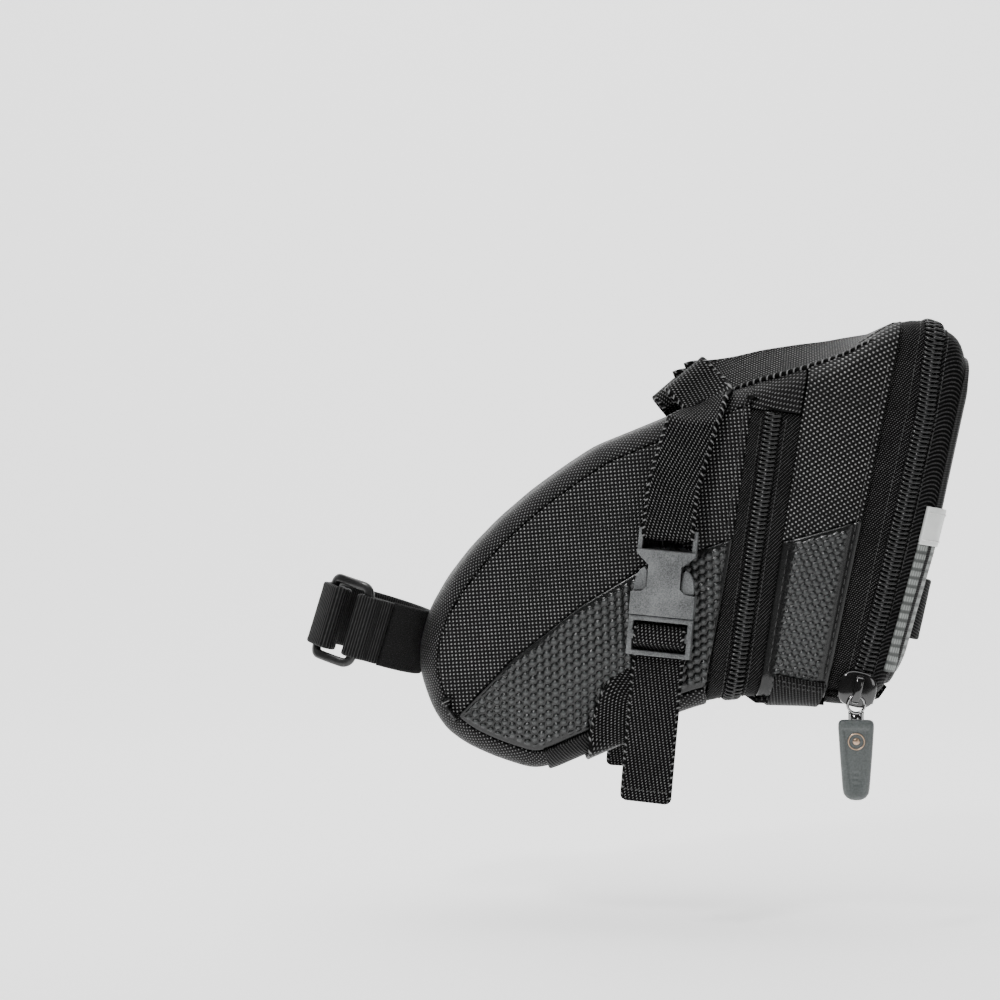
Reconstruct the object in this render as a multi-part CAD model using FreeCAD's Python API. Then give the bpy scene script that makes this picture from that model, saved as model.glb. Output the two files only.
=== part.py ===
"""Wedge saddle bag for a bicycle: a soft pouch under the saddle, on two rail straps and a seat-post strap.

Row frame, millimetres: +X runs rearward, +Z up, -Y is the bike's left. The origin is the centre of the
seat-post strap, on the post's axis. The bag body is drawn in its own frame, u rearward and w up, and that
frame is tilted nose-down by BAG_TILT about Y, as the bag hangs under the saddle.
"""

import FreeCAD
import Part
import math
import os

V = FreeCAD.Vector

# ---------------------------------------------------------------- driving dimensions
BAG_TILT = 8.0  # degrees, bag frame about +Y
WEDGE = 0.20  # growth of the half width per millimetre of length
NOSE_HALF = 26.0  # half width at NOSE_U
NOSE_U = 15.0
WALL = 2.0  # fabric, foam and lining together
SIDE_SEAM = 2.2  # depth of the seam between side panels and gusset
LINING = 0.8
ZIP_WALL = 1.2  # tape and coil

LID_FLOOR = 7.5  # top of the lid's fabric underside, where its zip tape starts
LID_SEAM = 10.5  # from the main zip to the lid's piped seam
EXP_U = 111.8  # plane of the expansion zip
EXP_HINGE_W = 97.6  # the fabric hinge above it, on the top panel
MAIN_U = 146.6  # plane of the main zip where w is 0
MAIN_SLOPE = 0.081  # lean of that plane, rearward per millimetre of height
LID_HINGE_W = -1.6  # the lid's fabric hinge under the bag
COIL_HALF = 2.2  # width of one coil half
TAPE = 4.6  # visible width of one zip tape on the expansion zip
MAIN_TAPE = 6.0
MAIN_SLIDER_W = 5.0
MAIN_SLIDER_U = MAIN_U + MAIN_SLOPE * MAIN_SLIDER_W
EXP_SLIDER_U = EXP_U
EXP_SLIDER_W = 74.0
SPLIT = 0.15  # half of the gap between parts on different bodies
BAND_OVER = 1.2  # thickness of ribbon and strips sewn on the outside

POST_R = 15.45  # seat post, 30.9 mm
POST_LEAN = 16.7  # degrees, top rearward
POST_STRAP_W = 20.0
POST_STRAP_T = 1.5
RING_R0, RING_R1 = 17.9, 20.3  # the curved plastic ring
RING_H = 27.5

WEB_W = 16.0  # side webbing
WEB_T = 1.4
RAIL_R = 3.5  # saddle rail, 7 mm
RAIL_C = V(99.5, -27.0, 76.8)  # centre of the left rail where the strap wraps it
RAIL_RISE = 40.4  # degrees, rail slope towards the rear
RAIL_WRAP = 18.0

BUCKLE_W = 19.4
BUCKLE_T = 6.4
BUCKLE_TOP = V(90.8, -45.6, 32.0)  # middle of the female half's top edge, mid-thickness
BUCKLE_LEAN = 5.0  # degrees, top rearward
FEMALE_L = 26.2
MALE_L = 12.2
PRONG_REACH = 9.1

WEDGE_DEG = math.degrees(math.atan(WEDGE))
LEAN_RAD = math.radians(POST_LEAN)

# Outline of the bag: u, lowest w, highest w, corner radius. The half width follows from WEDGE.
POUCH_SECTIONS = [
    (15.3, -9.0, 2.0, 3.5),
    (18.0, -15.0, 12.5, 7.0),
    (24.0, -24.6, 24.5, 9.0),
    (34.0, -30.8, 39.2, 9.0),
    (46.0, -33.8, 52.6, 9.0),
    (58.0, -34.9, 64.2, 9.0),
    (66.0, -29.8, 70.4, 9.0),
    (107.0, -4.8, 93.3, 9.0),
    (131.0, -1.3, 105.6, 8.0),
    (141.0, -0.8, 114.4, 7.0),
    (149.0, -0.5, 118.0, 7.0),
]
# The crowned lid narrows and leans: u where w is 0, lowest w, highest w, half width, corner radius.
LID_SECTIONS = [
    (151.5, 0.2, 116.8, 53.2, 10.0),
    (155.5, 3.8, 115.0, 52.5, 12.0),
    (158.3, 8.5, 112.0, 50.0, 15.0),
    (160.0, 14.0, 107.0, 45.0, 17.0),
    (160.9, 26.0, 96.0, 34.0, 18.0),
    (161.3, 40.0, 82.0, 20.0, 14.0),
]
LID_LEAN = 0.06  # rearward per millimetre of height
NOSE_START_HALF = 20.0  # the first section is narrower than the wedge
GRIP_LINE = [(29.3, -22.6), (43.6, -2.3), (62.4, 17.6), (79.5, 31.5), (104.0, 44.0)]
REAR_GRIP_LINE = [(118.0, 44.5), (148.0, 58.5)]

PARTS = "parts"
os.makedirs(PARTS, exist_ok=True)
NODES = {}


# ---------------------------------------------------------------- helpers
def half_width(u):
    return NOSE_HALF + (u - NOSE_U) * WEDGE


def keep(name, shape):
    """Stores a node's shape, already in the row frame."""
    NODES[name] = shape


def to_row(shape):
    """Bag frame to row frame."""
    out = shape.copy()
    out.rotate(V(0, 0, 0), V(0, 1, 0), BAG_TILT)
    return out


def row_point(u, y, w):
    a = math.radians(BAG_TILT)
    return V(u * math.cos(a) + w * math.sin(a), y, w * math.cos(a) - u * math.sin(a))


def mirrored(shape):
    return shape.mirror(V(0, 0, 0), V(0, 1, 0))


def both(name, shape):
    """The left piece and its mirror image on the right."""
    keep("left_" + name, shape)
    keep("right_" + name, mirrored(shape))


def prism(points, direction):
    wire = Part.makePolygon(list(points) + [points[0]])
    return Part.Face(wire).extrude(direction)


def box(x0, x1, y0, y1, z0, z1):
    return Part.makeBox(x1 - x0, y1 - y0, z1 - z0, V(x0, y0, z0))


def largest(shape):
    """The main solid of a boolean's result, without slivers."""
    return max(shape.Solids, key=lambda s: s.Volume)


def section_wire(u, w0, w1, half, r, lean=0.0):
    """A rounded rectangle across the bag, with the same edges in the same order at every u."""
    r = min(r, 0.49 * (w1 - w0), 0.49 * 2 * half)
    y0, y1 = -half, half
    k = r * (1 - math.sqrt(0.5))
    pts = [
        (y0 + r, w0), (y1 - r, w0), (y1, w0 + r), (y1, w1 - r),
        (y1 - r, w1), (y0 + r, w1), (y0, w1 - r), (y0, w0 + r),
    ]
    mids = [(y1 - k, w0 + k), (y1 - k, w1 - k), (y0 + k, w1 - k), (y0 + k, w0 + k)]
    p = [V(u + lean * w, y, w) for y, w in pts]
    m = [V(u + lean * w, y, w) for y, w in mids]
    edges = []
    for i in range(4):
        edges.append(Part.LineSegment(p[2 * i], p[2 * i + 1]).toShape())
        edges.append(Part.Arc(p[2 * i + 1], m[i], p[(2 * i + 2) % 8]).toShape())
    return Part.Wire(edges)


def bag_solid(inset, first_u=None, u_shift=0.0):
    """The bag's closed outer form, drawn in by inset all round. first_u drops the sections ahead of it."""
    rows = [(u, a, b, half_width(u), r, 0.0) for u, a, b, r in POUCH_SECTIONS]
    rows[0] = (rows[0][0], rows[0][1], rows[0][2], NOSE_START_HALF, rows[0][4], 0.0)
    for i, (u, a, b, half, r) in enumerate(LID_SECTIONS):
        rows.append((u - (inset + u_shift) * min(1.0, (i + 1) / 3), a, b, half, r, LID_LEAN))
    wires = []
    for u, w0, w1, half, r, lean in rows:
        if first_u is None or u >= first_u:
            wires.append(section_wire(u, w0 + inset, w1 - inset, half - inset, max(r - inset, 1.0), lean))
    return Part.makeLoft(wires, True, True)


def side_of(depth):
    """Everything left of the plane that lies depth inside the left side surface."""
    u0, u1 = -20.0, 200.0
    y0, y1 = depth - half_width(u0), depth - half_width(u1)
    return prism([V(u0, y0, -90), V(u1, y1, -90), V(u1, -120, -90), V(u0, -120, -90)], V(0, 0, 260))


def exp_slab(d0, d1):
    return box(EXP_U + d0, EXP_U + d1, -90, 90, -90, 200)


def main_slab(d0, d1):
    """The layer between two planes parallel to the main zip's plane."""
    slab = box(d0, d1, -90, 90, -90, 220)
    slab.rotate(V(0, 0, 0), V(0, 1, 0), math.degrees(math.atan(MAIN_SLOPE)))
    slab.translate(V(MAIN_U, 0, 0))
    return slab


def above_line(points, u0, u1):
    """Everything above a line drawn on the side of the bag."""
    pts = [V(u0, -90, points[0][1])]
    pts += [V(u, -90, w) for u, w in points]
    pts += [V(u1, -90, points[-1][1]), V(u1, -90, 200), V(u0, -90, 200)]
    return prism(pts, V(0, 180, 0))


def ribbon(path, width, thick, closed_ends=True):
    """A flat strap along a path in the local y-z plane, width along x. The path is its middle line."""
    left, right = [], []
    n = len(path)
    for i, (y, z) in enumerate(path):
        ya, za = path[max(i - 1, 0)]
        yb, zb = path[min(i + 1, n - 1)]
        if 0 < i < n - 1:
            d1 = V(y - ya, z - za, 0).normalize()
            d2 = V(yb - y, zb - z, 0).normalize()
            d = (d1 + d2).normalize()
            grow = 1.0 / max(0.5, d.dot(d1))
        else:
            d = V(yb - ya, zb - za, 0).normalize()
            grow = 1.0
        off = V(-d.y, d.x, 0) * (thick / 2 * grow)
        left.append(V(-width / 2, y + off.x, z + off.y))
        right.append(V(-width / 2, y - off.x, z - off.y))
    return prism(left + right[::-1], V(width, 0, 0))


# ---------------------------------------------------------------- bag shells
OUTER = bag_solid(0.0)
INNER = bag_solid(WALL, first_u=20.0)
SHELL = OUTER.cut(INNER)
ZIP_SHELL = OUTER.cut(bag_solid(ZIP_WALL, first_u=20.0))
post_room = Part.makeCylinder(POST_R + POST_STRAP_T + 0.5, 200, V(0, 0, -100), V(0, 0, 1))
post_room.rotate(V(0, 0, 0), V(0, 1, 0), POST_LEAN - BAG_TILT)
SHELL = SHELL.cut(post_room)
LEFT = side_of(SIDE_SEAM)


def panels(shell, grip_line, u0, u1):
    """Splits a ring of shell into left panel, left grip panel and the gusset between the sides."""
    left = largest(shell.common(LEFT))
    gusset = shell.cut(LEFT).cut(mirrored(LEFT))
    upper = above_line(grip_line, u0, u1)
    return largest(left.common(upper)), largest(left.cut(upper)), gusset


def front_pouch():
    front = largest(SHELL.common(box(0, EXP_U - COIL_HALF - TAPE, -90, 90, -90, 200)))
    fabric, grip, gusset = panels(front, GRIP_LINE, 0, 130)
    both("side_panel", to_row(fabric))
    both("grip_panel", to_row(grip))
    nose_cut = box(0, 34.0, -90, 90, -90, 200)
    keep("nose_panel", to_row(largest(gusset.common(nose_cut))))
    rest = gusset.cut(nose_cut)
    top = box(34.0, 130, -90, 90, 20, 200)
    keep("top_panel", to_row(largest(rest.common(top))))
    keep("bottom_panel", to_row(largest(rest.cut(top))))


def zip_ring(d0, d1, slab, top_hinge, floor=2.6):
    """One strip of a zip: the ring of shell between two planes, less the side where the hinge runs."""
    ring = ZIP_SHELL.common(slab(d0, d1))
    if top_hinge:
        return largest(ring.cut(box(0, 200, -90, 90, 84.0, 200)))
    return largest(ring.cut(box(0, 200, -90, 90, -40, floor)))


def divider_gap(u, w, side):
    """Room between the coil halves for the slider's divider. side is 1 on the right, -1 on the left."""
    y = side * half_width(u)
    inner, outer = sorted((y - side * 6, y + side * 2))
    return box(u - 0.95, u + 0.95, inner, outer, w - 1.5, w + 1.1)


def expansion_zip():
    f0, f1 = -COIL_HALF - TAPE, -COIL_HALF
    keep("expansion_tape_front", to_row(zip_ring(f0, f1, exp_slab, True)))
    gap = divider_gap(EXP_SLIDER_U, EXP_SLIDER_W, 1)
    keep("expansion_coil_front", to_row(largest(zip_ring(f1, -SPLIT, exp_slab, True).cut(gap))))
    keep("expansion_coil_rear", to_row(largest(zip_ring(SPLIT, COIL_HALF, exp_slab, True).cut(gap))))
    keep("expansion_tape_rear", to_row(zip_ring(COIL_HALF, COIL_HALF + TAPE, exp_slab, True)))
    over = box(0, 200, -90, 90, 84.0, 200)
    keep("expansion_hinge_strip", to_row(largest(SHELL.common(exp_slab(f0, -SPLIT)).common(over))))
    fold = bag_solid(WALL + LINING + 0.6, 20.0).cut(bag_solid(WALL + LINING + 1.6, 20.0))
    fold = fold.common(exp_slab(-14.0, -0.6)).cut(box(0, 200, -90, 90, 80.0, 200))
    keep("expansion_gusset", to_row(largest(fold)))


def rear_section():
    start = exp_slab(COIL_HALF + TAPE, 80)
    stop = main_slab(-60, -COIL_HALF - MAIN_TAPE)
    ring = largest(SHELL.common(start).common(stop))
    fabric, grip, gusset = panels(ring, REAR_GRIP_LINE, 100, 190)
    both_rear = (("rear_panel", fabric), ("rear_grip_panel", grip))
    for name, shape in both_rear:
        both(name, to_row(shape))
    upper = box(100, 190, -90, 90, 50, 200)
    top = largest(gusset.common(upper))
    cap = SHELL.common(exp_slab(SPLIT, COIL_HALF + TAPE)).common(box(0, 200, -90, 90, 84.0, 200))
    keep("rear_top_panel", to_row(top.fuse(largest(cap)).removeSplitter()))
    keep("rear_bottom_panel", to_row(largest(gusset.cut(upper))))


def main_zip():
    keep("main_tape_body", to_row(zip_ring(-COIL_HALF - MAIN_TAPE, -COIL_HALF, main_slab, False)))
    gap = divider_gap(MAIN_SLIDER_U, MAIN_SLIDER_W, -1)
    keep("main_coil_body", to_row(largest(zip_ring(-COIL_HALF, -SPLIT, main_slab, False).cut(gap))))
    keep("main_coil_lid", to_row(largest(zip_ring(SPLIT, COIL_HALF, main_slab, False).cut(gap))))
    keep("main_tape_lid", to_row(zip_ring(COIL_HALF, LID_SEAM, main_slab, False, LID_FLOOR)))
    under = box(0, 200, -90, 90, -40, 2.6)
    strip = SHELL.common(main_slab(-COIL_HALF - MAIN_TAPE, -SPLIT)).common(under)
    keep("lid_hinge_strip", to_row(largest(strip)))


def lid():
    under = box(0, 200, -90, 90, -40, LID_FLOOR)
    low_strip = SHELL.common(main_slab(COIL_HALF, LID_SEAM)).common(under)
    first = SHELL.common(main_slab(SPLIT, COIL_HALF)).common(box(0, 200, -90, 90, -40, 2.6))
    low_strip = largest(low_strip.fuse(first).removeSplitter())
    panel = largest(SHELL.common(main_slab(LID_SEAM, 60)))
    split = box(100, 200, -90, 90, 46.0, 200)
    keep("lid_panel", to_row(largest(panel.common(split))))
    keep("lid_lower_panel", to_row(largest(panel.cut(split)).fuse(low_strip).removeSplitter()))
    cord = bag_solid(-1.1).cut(bag_solid(-0.05)).common(main_slab(LID_SEAM - 1.0, LID_SEAM + 1.0))
    keep("lid_piping", to_row(largest(cord)))
    skin = bag_solid(-0.7).cut(bag_solid(-0.05)).common(main_slab(LID_SEAM + 1.3, 60))
    keep("reflective_strip", to_row(largest(skin.common(box(100, 200, -90, 90, 46.0, 60.5)))))
    lining = bag_solid(WALL + 0.1, 20.0).cut(bag_solid(WALL + 0.1 + LINING, 20.0, 0.4))
    keep("lid_lining", to_row(largest(lining.common(main_slab(LID_SEAM - 0.6, 60)))))
    stand = 3.0
    clip = prism(
        [
            V(0, -25, 0), V(0, -18, 0), V(stand, -17, 0), V(stand, 17, 0), V(0, 18, 0), V(0, 25, 0),
            V(1.2, 25, 0), V(1.2, 19, 0), V(stand + 1.4, 18, 0), V(stand + 1.4, -18, 0), V(1.2, -19, 0),
            V(1.2, -25, 0),
        ],
        V(0, 0, 19.5),
    )
    clip.rotate(V(0, 0, 0), V(0, 1, 0), 6.5)
    clip.translate(V(161.4, 0, 20.4))
    keep("light_clip_loop", to_row(largest(clip.cut(bag_solid(-0.1)))))


def linings():
    thick = bag_solid(WALL + 0.1, 20.0).cut(bag_solid(WALL + 0.1 + LINING, 20.0))
    keep("front_lining", to_row(largest(thick.common(box(0, EXP_U - 15.0, -90, 90, -90, 200)))))
    rear = thick.common(exp_slab(COIL_HALF + TAPE - 0.6, 80))
    rear = rear.common(main_slab(-60, -COIL_HALF - MAIN_TAPE + 0.6))
    keep("rear_lining", to_row(largest(rear)))


def bottom_bands():
    """Ribbons that wrap the underside, one on the pouch and one on the rear section."""
    over = bag_solid(-BAND_OVER).cut(bag_solid(-0.05))
    low = box(0, 200, -90, 90, -60, 200)
    front = over.common(box(60.5, 78.5, -90, 90, -60, -14.5)).common(low)
    keep("front_bottom_band", to_row(largest(front)))
    rear = over.common(box(122.0, 137.5, -90, 90, -60, 6.5))
    keep("rear_bottom_band", to_row(largest(rear)))


# ---------------------------------------------------------------- seat-post strap
def post_arc(r0, r1, a0, a1, height, z0=None):
    """A curved band round the post's axis. Angles run from the rear, through the bike's left at 90."""
    z0 = -height / 2 if z0 is None else z0
    outer = Part.makeCylinder(r1, height, V(0, 0, z0), V(0, 0, 1), a1 - a0)
    inner = Part.makeCylinder(r0, height, V(0, 0, z0), V(0, 0, 1), a1 - a0)
    band = outer.cut(inner)
    band.rotate(V(0, 0, 0), V(0, 0, 1), -a1)
    return band


def on_post(shape):
    out = shape.copy()
    out.rotate(V(0, 0, 0), V(0, 1, 0), POST_LEAN)
    return out


def post_point(r, angle):
    a = math.radians(angle)
    x, y = r * math.cos(a), -r * math.sin(a)
    return V(x * math.cos(LEAN_RAD), y, -x * math.sin(LEAN_RAD))


RING_A0, RING_A1 = 99.0, 151.0
BAR = 8.0  # degrees that the rear bar of the ring takes
FRONT_BAR = 15.0


def post_strap():
    r1 = POST_R + POST_STRAP_T
    h = POST_STRAP_W
    over0, over1 = RING_R1 + 0.2, RING_R1 + 0.2 + POST_STRAP_T
    ring = post_arc(RING_R0, RING_R1, RING_A0, RING_A1, RING_H)
    window = post_arc(RING_R0 - 1, RING_R1 + 1, RING_A0 + BAR, RING_A1 - FRONT_BAR, h + 1.0)
    keep("post_ring", on_post(largest(ring.cut(window))))
    turn = RING_A1 + 5.0
    fold = RING_A1 - FRONT_BAR - 8.0
    right = post_arc(POST_R, r1, fold, 345.0, h)
    right = right.fuse(post_arc(over0, over1, fold, turn, h))
    right = right.fuse(post_arc(POST_R, over1, turn - 3.0, turn, h))
    right = right.fuse(post_arc(POST_R, over1, fold, fold + 3.0, h))
    keep("post_strap_right", on_post(right.removeSplitter()))
    out = RING_A0 + BAR + 1.0
    left = post_arc(POST_R, r1, -14.5, out + 4.0, h)
    left = left.fuse(post_arc(POST_R, over1, out, out + 4.0, h))
    left = left.fuse(post_arc(over0, over1, 94.0, out + 4.0, h))
    left = left.fuse(post_arc(r1 + 0.2, over1, 92.0, 96.0, h))
    left = left.fuse(post_arc(r1 + 0.2, r1 + 0.2 + POST_STRAP_T, 80.0, 96.0, h))
    keep("post_strap_left", on_post(left.removeSplitter()))


# ---------------------------------------------------------------- side straps and buckles
def on_buckle(shape):
    """Buckle frame (x rearward along the side, y inward, z up, origin at the top edge) to the row frame."""
    out = shape.copy()
    out.rotate(V(0, 0, 0), V(0, 1, 0), BUCKLE_LEAN)
    out.rotate(V(0, 0, 0), V(0, 0, 1), -WEDGE_DEG)
    out.translate(BUCKLE_TOP)
    return out


def buckle_vector(v):
    r = FreeCAD.Rotation(V(0, 0, 1), -WEDGE_DEG).multiply(FreeCAD.Rotation(V(0, 1, 0), BUCKLE_LEAN))
    return r.multVec(v)


def buckle_point(x, y, z):
    return buckle_vector(V(x, y, z)) + BUCKLE_TOP


def flat(points, y0, y1):
    """A plate with an outline in the buckle's x-z plane."""
    return prism([V(x, y0, z) for x, z in points], V(0, y1 - y0, 0))


def sym(points):
    """Closes a half outline with its mirror image."""
    return points + [(-x, z) for x, z in reversed(points)]


CAVITY_HALF = 7.8
CAVITY_T = 3.8
TOP_HALF = 8.9


def buckle_female():
    half = BUCKLE_W / 2
    outline = sym([
        (TOP_HALF, 0), (TOP_HALF, -7.5), (5.0, -11.0), (5.0, -17.6),
        (6.4, -19.0), (half, -19.4), (half, -FEMALE_L),
    ])
    t = BUCKLE_T / 2
    body = flat(outline, -t, t)
    thin = box(-12, 12, t - 1.7, t + 1, -6.6, 1).fuse(box(-12, 12, -t - 1, -t + 1.7, -6.6, 1))
    body = body.cut(thin)
    body = body.cut(box(-7.6, 7.6, -9, 9, -6.4, -2.2))
    body = body.cut(box(-CAVITY_HALF, CAVITY_HALF, -CAVITY_T / 2, CAVITY_T / 2, -FEMALE_L - 1, -9.0))
    return body


def buckle_male():
    half = BUCKLE_W / 2
    z0 = -FEMALE_L - 0.2
    z1 = -FEMALE_L - MALE_L
    frame = box(-half, half, -2.2, 2.2, z1, z0)
    post = 1.5
    frame = frame.cut(box(-half + post, half - post, -9, 9, z0 - 4.6, z0 - 1.6))
    frame = frame.cut(box(-half + post, half - post, -9, 9, z1 + 1.4, z0 - 7.2))
    frame = frame.cut(box(-half + post, half - post, 0.6, 9, z1 - 1, z0 - 1.6))
    tongue = flat(sym([(1.6, z0), (1.3, -16.0)]), -1.2, 1.2)
    return frame.fuse(tongue).removeSplitter()


def prong(side):
    """One sprung arm: a slim root, and a shoulder that stands in the side window behind the mouth."""
    z0 = -FEMALE_L - 0.1
    pts = [
        (4.7, z0), (4.9, -19.0), (5.3, -13.0), (6.2, -11.6), (7.6, -12.6), (8.6, -14.4),
        (PRONG_REACH, -16.6), (PRONG_REACH, -19.1), (6.9, -19.1), (6.6, z0),
    ]
    return flat([(side * x, z) for x, z in pts], -1.6, 1.6)


def rail_frame(shape):
    """Rail frame (x along the rail, y inward, z square to it) to the row frame."""
    out = shape.copy()
    out.rotate(V(0, 0, 0), V(0, 1, 0), -RAIL_RISE)
    out.translate(RAIL_C)
    return out


def along_rail(x, y, z):
    """A point given in the rail frame."""
    a = math.radians(RAIL_RISE)
    return RAIL_C + V(x * math.cos(a) - z * math.sin(a), y, x * math.sin(a) + z * math.cos(a))


def rail_wrap():
    """The half turn of webbing over the saddle rail."""
    wrap = Part.makeCylinder(RAIL_R + WEB_T, RAIL_WRAP, V(-RAIL_WRAP / 2, 0, 0), V(1, 0, 0))
    wrap = wrap.cut(Part.makeCylinder(RAIL_R, RAIL_WRAP + 2, V(-RAIL_WRAP / 2 - 1, 0, 0), V(1, 0, 0)))
    return rail_frame(wrap.cut(box(-20, 20, -20, 20, -20, 0)))


def strap_outer():
    """The outer run, from the wrap down over the bag's top edge and along its side to the buckle."""
    y = -RAIL_R - WEB_T / 2 - 0.15
    half = RAIL_WRAP / 2 - 1.0
    edges = [
        (along_rail(-half, y, -0.65), along_rail(half, y, -0.65)),
        (V(90.6, -41.45, 64.0), V(103.6, -44.05, 64.0)),
        (buckle_point(-WEB_W / 2, 0, 0.3), buckle_point(WEB_W / 2, 0, 0.3)),
    ]
    return slab_between(edges, WEB_T)


def slab_between(edges, thick):
    """A flat or twisted strap through straight cross lines, thick along the local normal."""
    wires = []
    for i, (a, b) in enumerate(edges):
        j = min(i + 1, len(edges) - 1)
        k = j - 1
        along = (edges[j][0] + edges[j][1]) - (edges[k][0] + edges[k][1])
        n = along.cross(b - a)
        n.normalize()
        n = n * (thick / 2)
        wires.append(Part.makePolygon([a + n, b + n, b - n, a - n, a + n]))
    return Part.makeLoft(wires, True, True)


ANCHOR_U0, ANCHOR_W0, ANCHOR_L, ANCHOR_RISE = 132.0, 106.6, 10.0, 41.3


def strap_inner():
    """The run from the rail's inner side, rearward and turning flat towards its anchor on the top panel."""
    y = RAIL_C.y + RAIL_R + WEB_T / 2
    low = along_rail(-RAIL_WRAP / 2, RAIL_R + WEB_T / 2 + 0.1, -0.2)
    high = along_rail(RAIL_WRAP / 2, RAIL_R + WEB_T / 2 + 0.1, -0.2)
    edges = [
        (low, high),
        (V(98.5, y - 0.2, 70.6), V(111.0, y, 85.6)),
        (V(107.5, y - 2.0, 74.6), V(114.5, y + 0.2, 89.6)),
        (V(117.0, -30.5, 78.6), V(121.0, -23.0, 91.4)),
        (V(128.0, -37.5, 82.6), V(131.0, -25.0, 91.4)),
        (V(138.0, -41.0, 86.2), V(140.0, -26.0, 91.0)),
        tuple(row_point(ANCHOR_U0 - 0.2, y, ANCHOR_W0 + 1.1) for y in (-42.0, -26.0)),
    ]
    return slab_between(edges, WEB_T)


def strap_anchors():
    """The two webbing ends sewn flat on the rear section's top."""
    patch = box(0, ANCHOR_L, -42.0, -26.0, 0.25, 0.25 + WEB_T)
    patch.rotate(V(0, 0, 0), V(0, 1, 0), -ANCHOR_RISE)
    patch.translate(V(ANCHOR_U0, 0, ANCHOR_W0))
    patch = to_row(patch)
    return Part.makeCompound([patch, mirrored(patch)])


def side_straps():
    both("rail_wrap", rail_wrap())
    both("rail_strap", strap_outer())
    inner = strap_inner()
    keep("strap_returns", Part.makeCompound([inner, mirrored(inner)]))
    keep("strap_anchors", strap_anchors())
    both("buckle_female", on_buckle(buckle_female()))
    both("buckle_male", on_buckle(buckle_male()))
    both("prong_front", on_buckle(prong(-1)))
    both("prong_rear", on_buckle(prong(1)))
    bar_z = -FEMALE_L - 0.2 - 5.9
    low = -FEMALE_L - MALE_L
    t = 1.3
    path = [
        (3.1, low - 2.1), (3.1, bar_z + 3.6), (0.6, bar_z + 2.7), (-3.1, bar_z + 2.2), (-3.1, bar_z - 2.2),
        (1.35, bar_z - 3.3), (1.5, low + 0.2), (0.2, -43.0), (-0.8, -60.0), (-0.8, -82.5),
    ]
    both("strap_tail", on_buckle(ribbon(path, 15.4, t)))
    a, b = buckle_point(-7.7, 3.4, low - 3.0), buckle_point(7.7, 3.4, low - 3.0)
    c, d = V(68.6, -40.3, -29.4), V(82.6, -43.1, -22.9)
    e, f = V(67.0, -37.6, -37.1), V(81.0, -40.4, -30.7)
    g, h = V(66.6, -24.0, -39.3), V(80.6, -25.4, -32.9)
    runs = [slab_between([(c, d), (e, f)], t), slab_between([(e, f), (g, h)], t)]
    lower = slab_between([(a, b), (c, d)], t).fuse(runs)
    both("lower_strap", lower)


# ---------------------------------------------------------------- sliders and pulls
def slider(half, high, depth=3.3):
    """Zip slider in a frame with x across the zip, y inward from the tape's face and z along the zip.

    depth is where the inner plate lies.
    """
    plate = sym([
        (half - 2.2, high), (half - 0.6, high - 1.4), (half, 0.6),
        (half - 0.7, -high + 1.9), (half - 2.4, -high),
    ])
    top = flat(plate, -1.8, -0.6)
    low = box(-3.4, 3.4, depth, depth + 0.5, 0.2, 4.6)
    divider = box(-0.55, 0.55, -0.7, depth + 0.1, -1.2, 0.8)
    arch = box(-1.1, 1.1, -4.5, -1.7, -4.2, 4.2).cut(box(-2, 2, -3.4, -1.7, -3.2, 3.2))
    return top.fuse([low, divider, arch]).removeSplitter()


def place(shape, turn, lean, origin):
    """Turns a shape about z, then leans it about y, then moves it to its origin."""
    out = shape.copy()
    out.rotate(V(0, 0, 0), V(0, 0, 1), turn)
    out.rotate(V(0, 0, 0), V(0, 1, 0), lean)
    out.translate(origin)
    return out


def turned(v, turn, lean):
    r = FreeCAD.Rotation(V(0, 1, 0), lean).multiply(FreeCAD.Rotation(V(0, 0, 1), turn))
    return r.multVec(v)


MAIN_TURN = -WEDGE_DEG / 2
MAIN_LEAN = BAG_TILT + math.degrees(math.atan(MAIN_SLOPE))
MAIN_SLIDER = row_point(MAIN_SLIDER_U, -half_width(MAIN_SLIDER_U) - 0.25, MAIN_SLIDER_W)
EXP_SLIDER = row_point(EXP_SLIDER_U, half_width(EXP_SLIDER_U) + 0.1, EXP_SLIDER_W)
PIN = V(0, -2.55, -2.3)
MAIN_PIN = MAIN_SLIDER + turned(PIN, MAIN_TURN, MAIN_LEAN)
EXP_PIN = EXP_SLIDER + turned(V(0, 2.55, -2.3), WEDGE_DEG, BAG_TILT)


def pull_link():
    """Steel link: an eye round the slider's arch and a shank into the tab. Its pin line is the origin."""
    eye = box(-2.95, 2.95, -0.5, 0.5, -4.6, 0.5).cut(box(-1.9, 1.9, -2, 2, -3.6, -0.5))
    return eye.fuse(box(-2.1, 2.1, -0.5, 0.5, -9.0, -4.4)).removeSplitter()


def pull_tab():
    z0, z1 = -6.7, -30.6
    pts = sym([(4.3, z0), (5.2, z0 - 0.9), (5.2, z0 - 2.4), (3.6, z1 + 3.2), (2.6, z1 + 0.9), (1.2, z1)])
    return flat(pts, -1.5, 1.5)


def small_pull():
    plate = box(-2.6, 2.6, -0.5, 0.5, -20.0, 0.5)
    return plate.cut(box(-1.8, 1.8, -2, 2, -3.6, -0.5))


def sliders():
    keep("main_slider", place(slider(5.4, 5.2), MAIN_TURN, MAIN_LEAN, MAIN_SLIDER))
    link = pull_link()
    keep("main_pull_link", place(link, MAIN_TURN, 0, MAIN_PIN))
    keep("main_pull_tab", place(pull_tab().cut(link), MAIN_TURN, 0, MAIN_PIN))
    keep("expansion_slider", place(mirrored(slider(4.6, 5.0, 2.75)), WEDGE_DEG, BAG_TILT, EXP_SLIDER))
    keep("expansion_pull", place(mirrored(small_pull()), WEDGE_DEG, 0, EXP_PIN))


front_pouch()
expansion_zip()
rear_section()
main_zip()
lid()
linings()
bottom_bands()
post_strap()
side_straps()
sliders()

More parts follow.
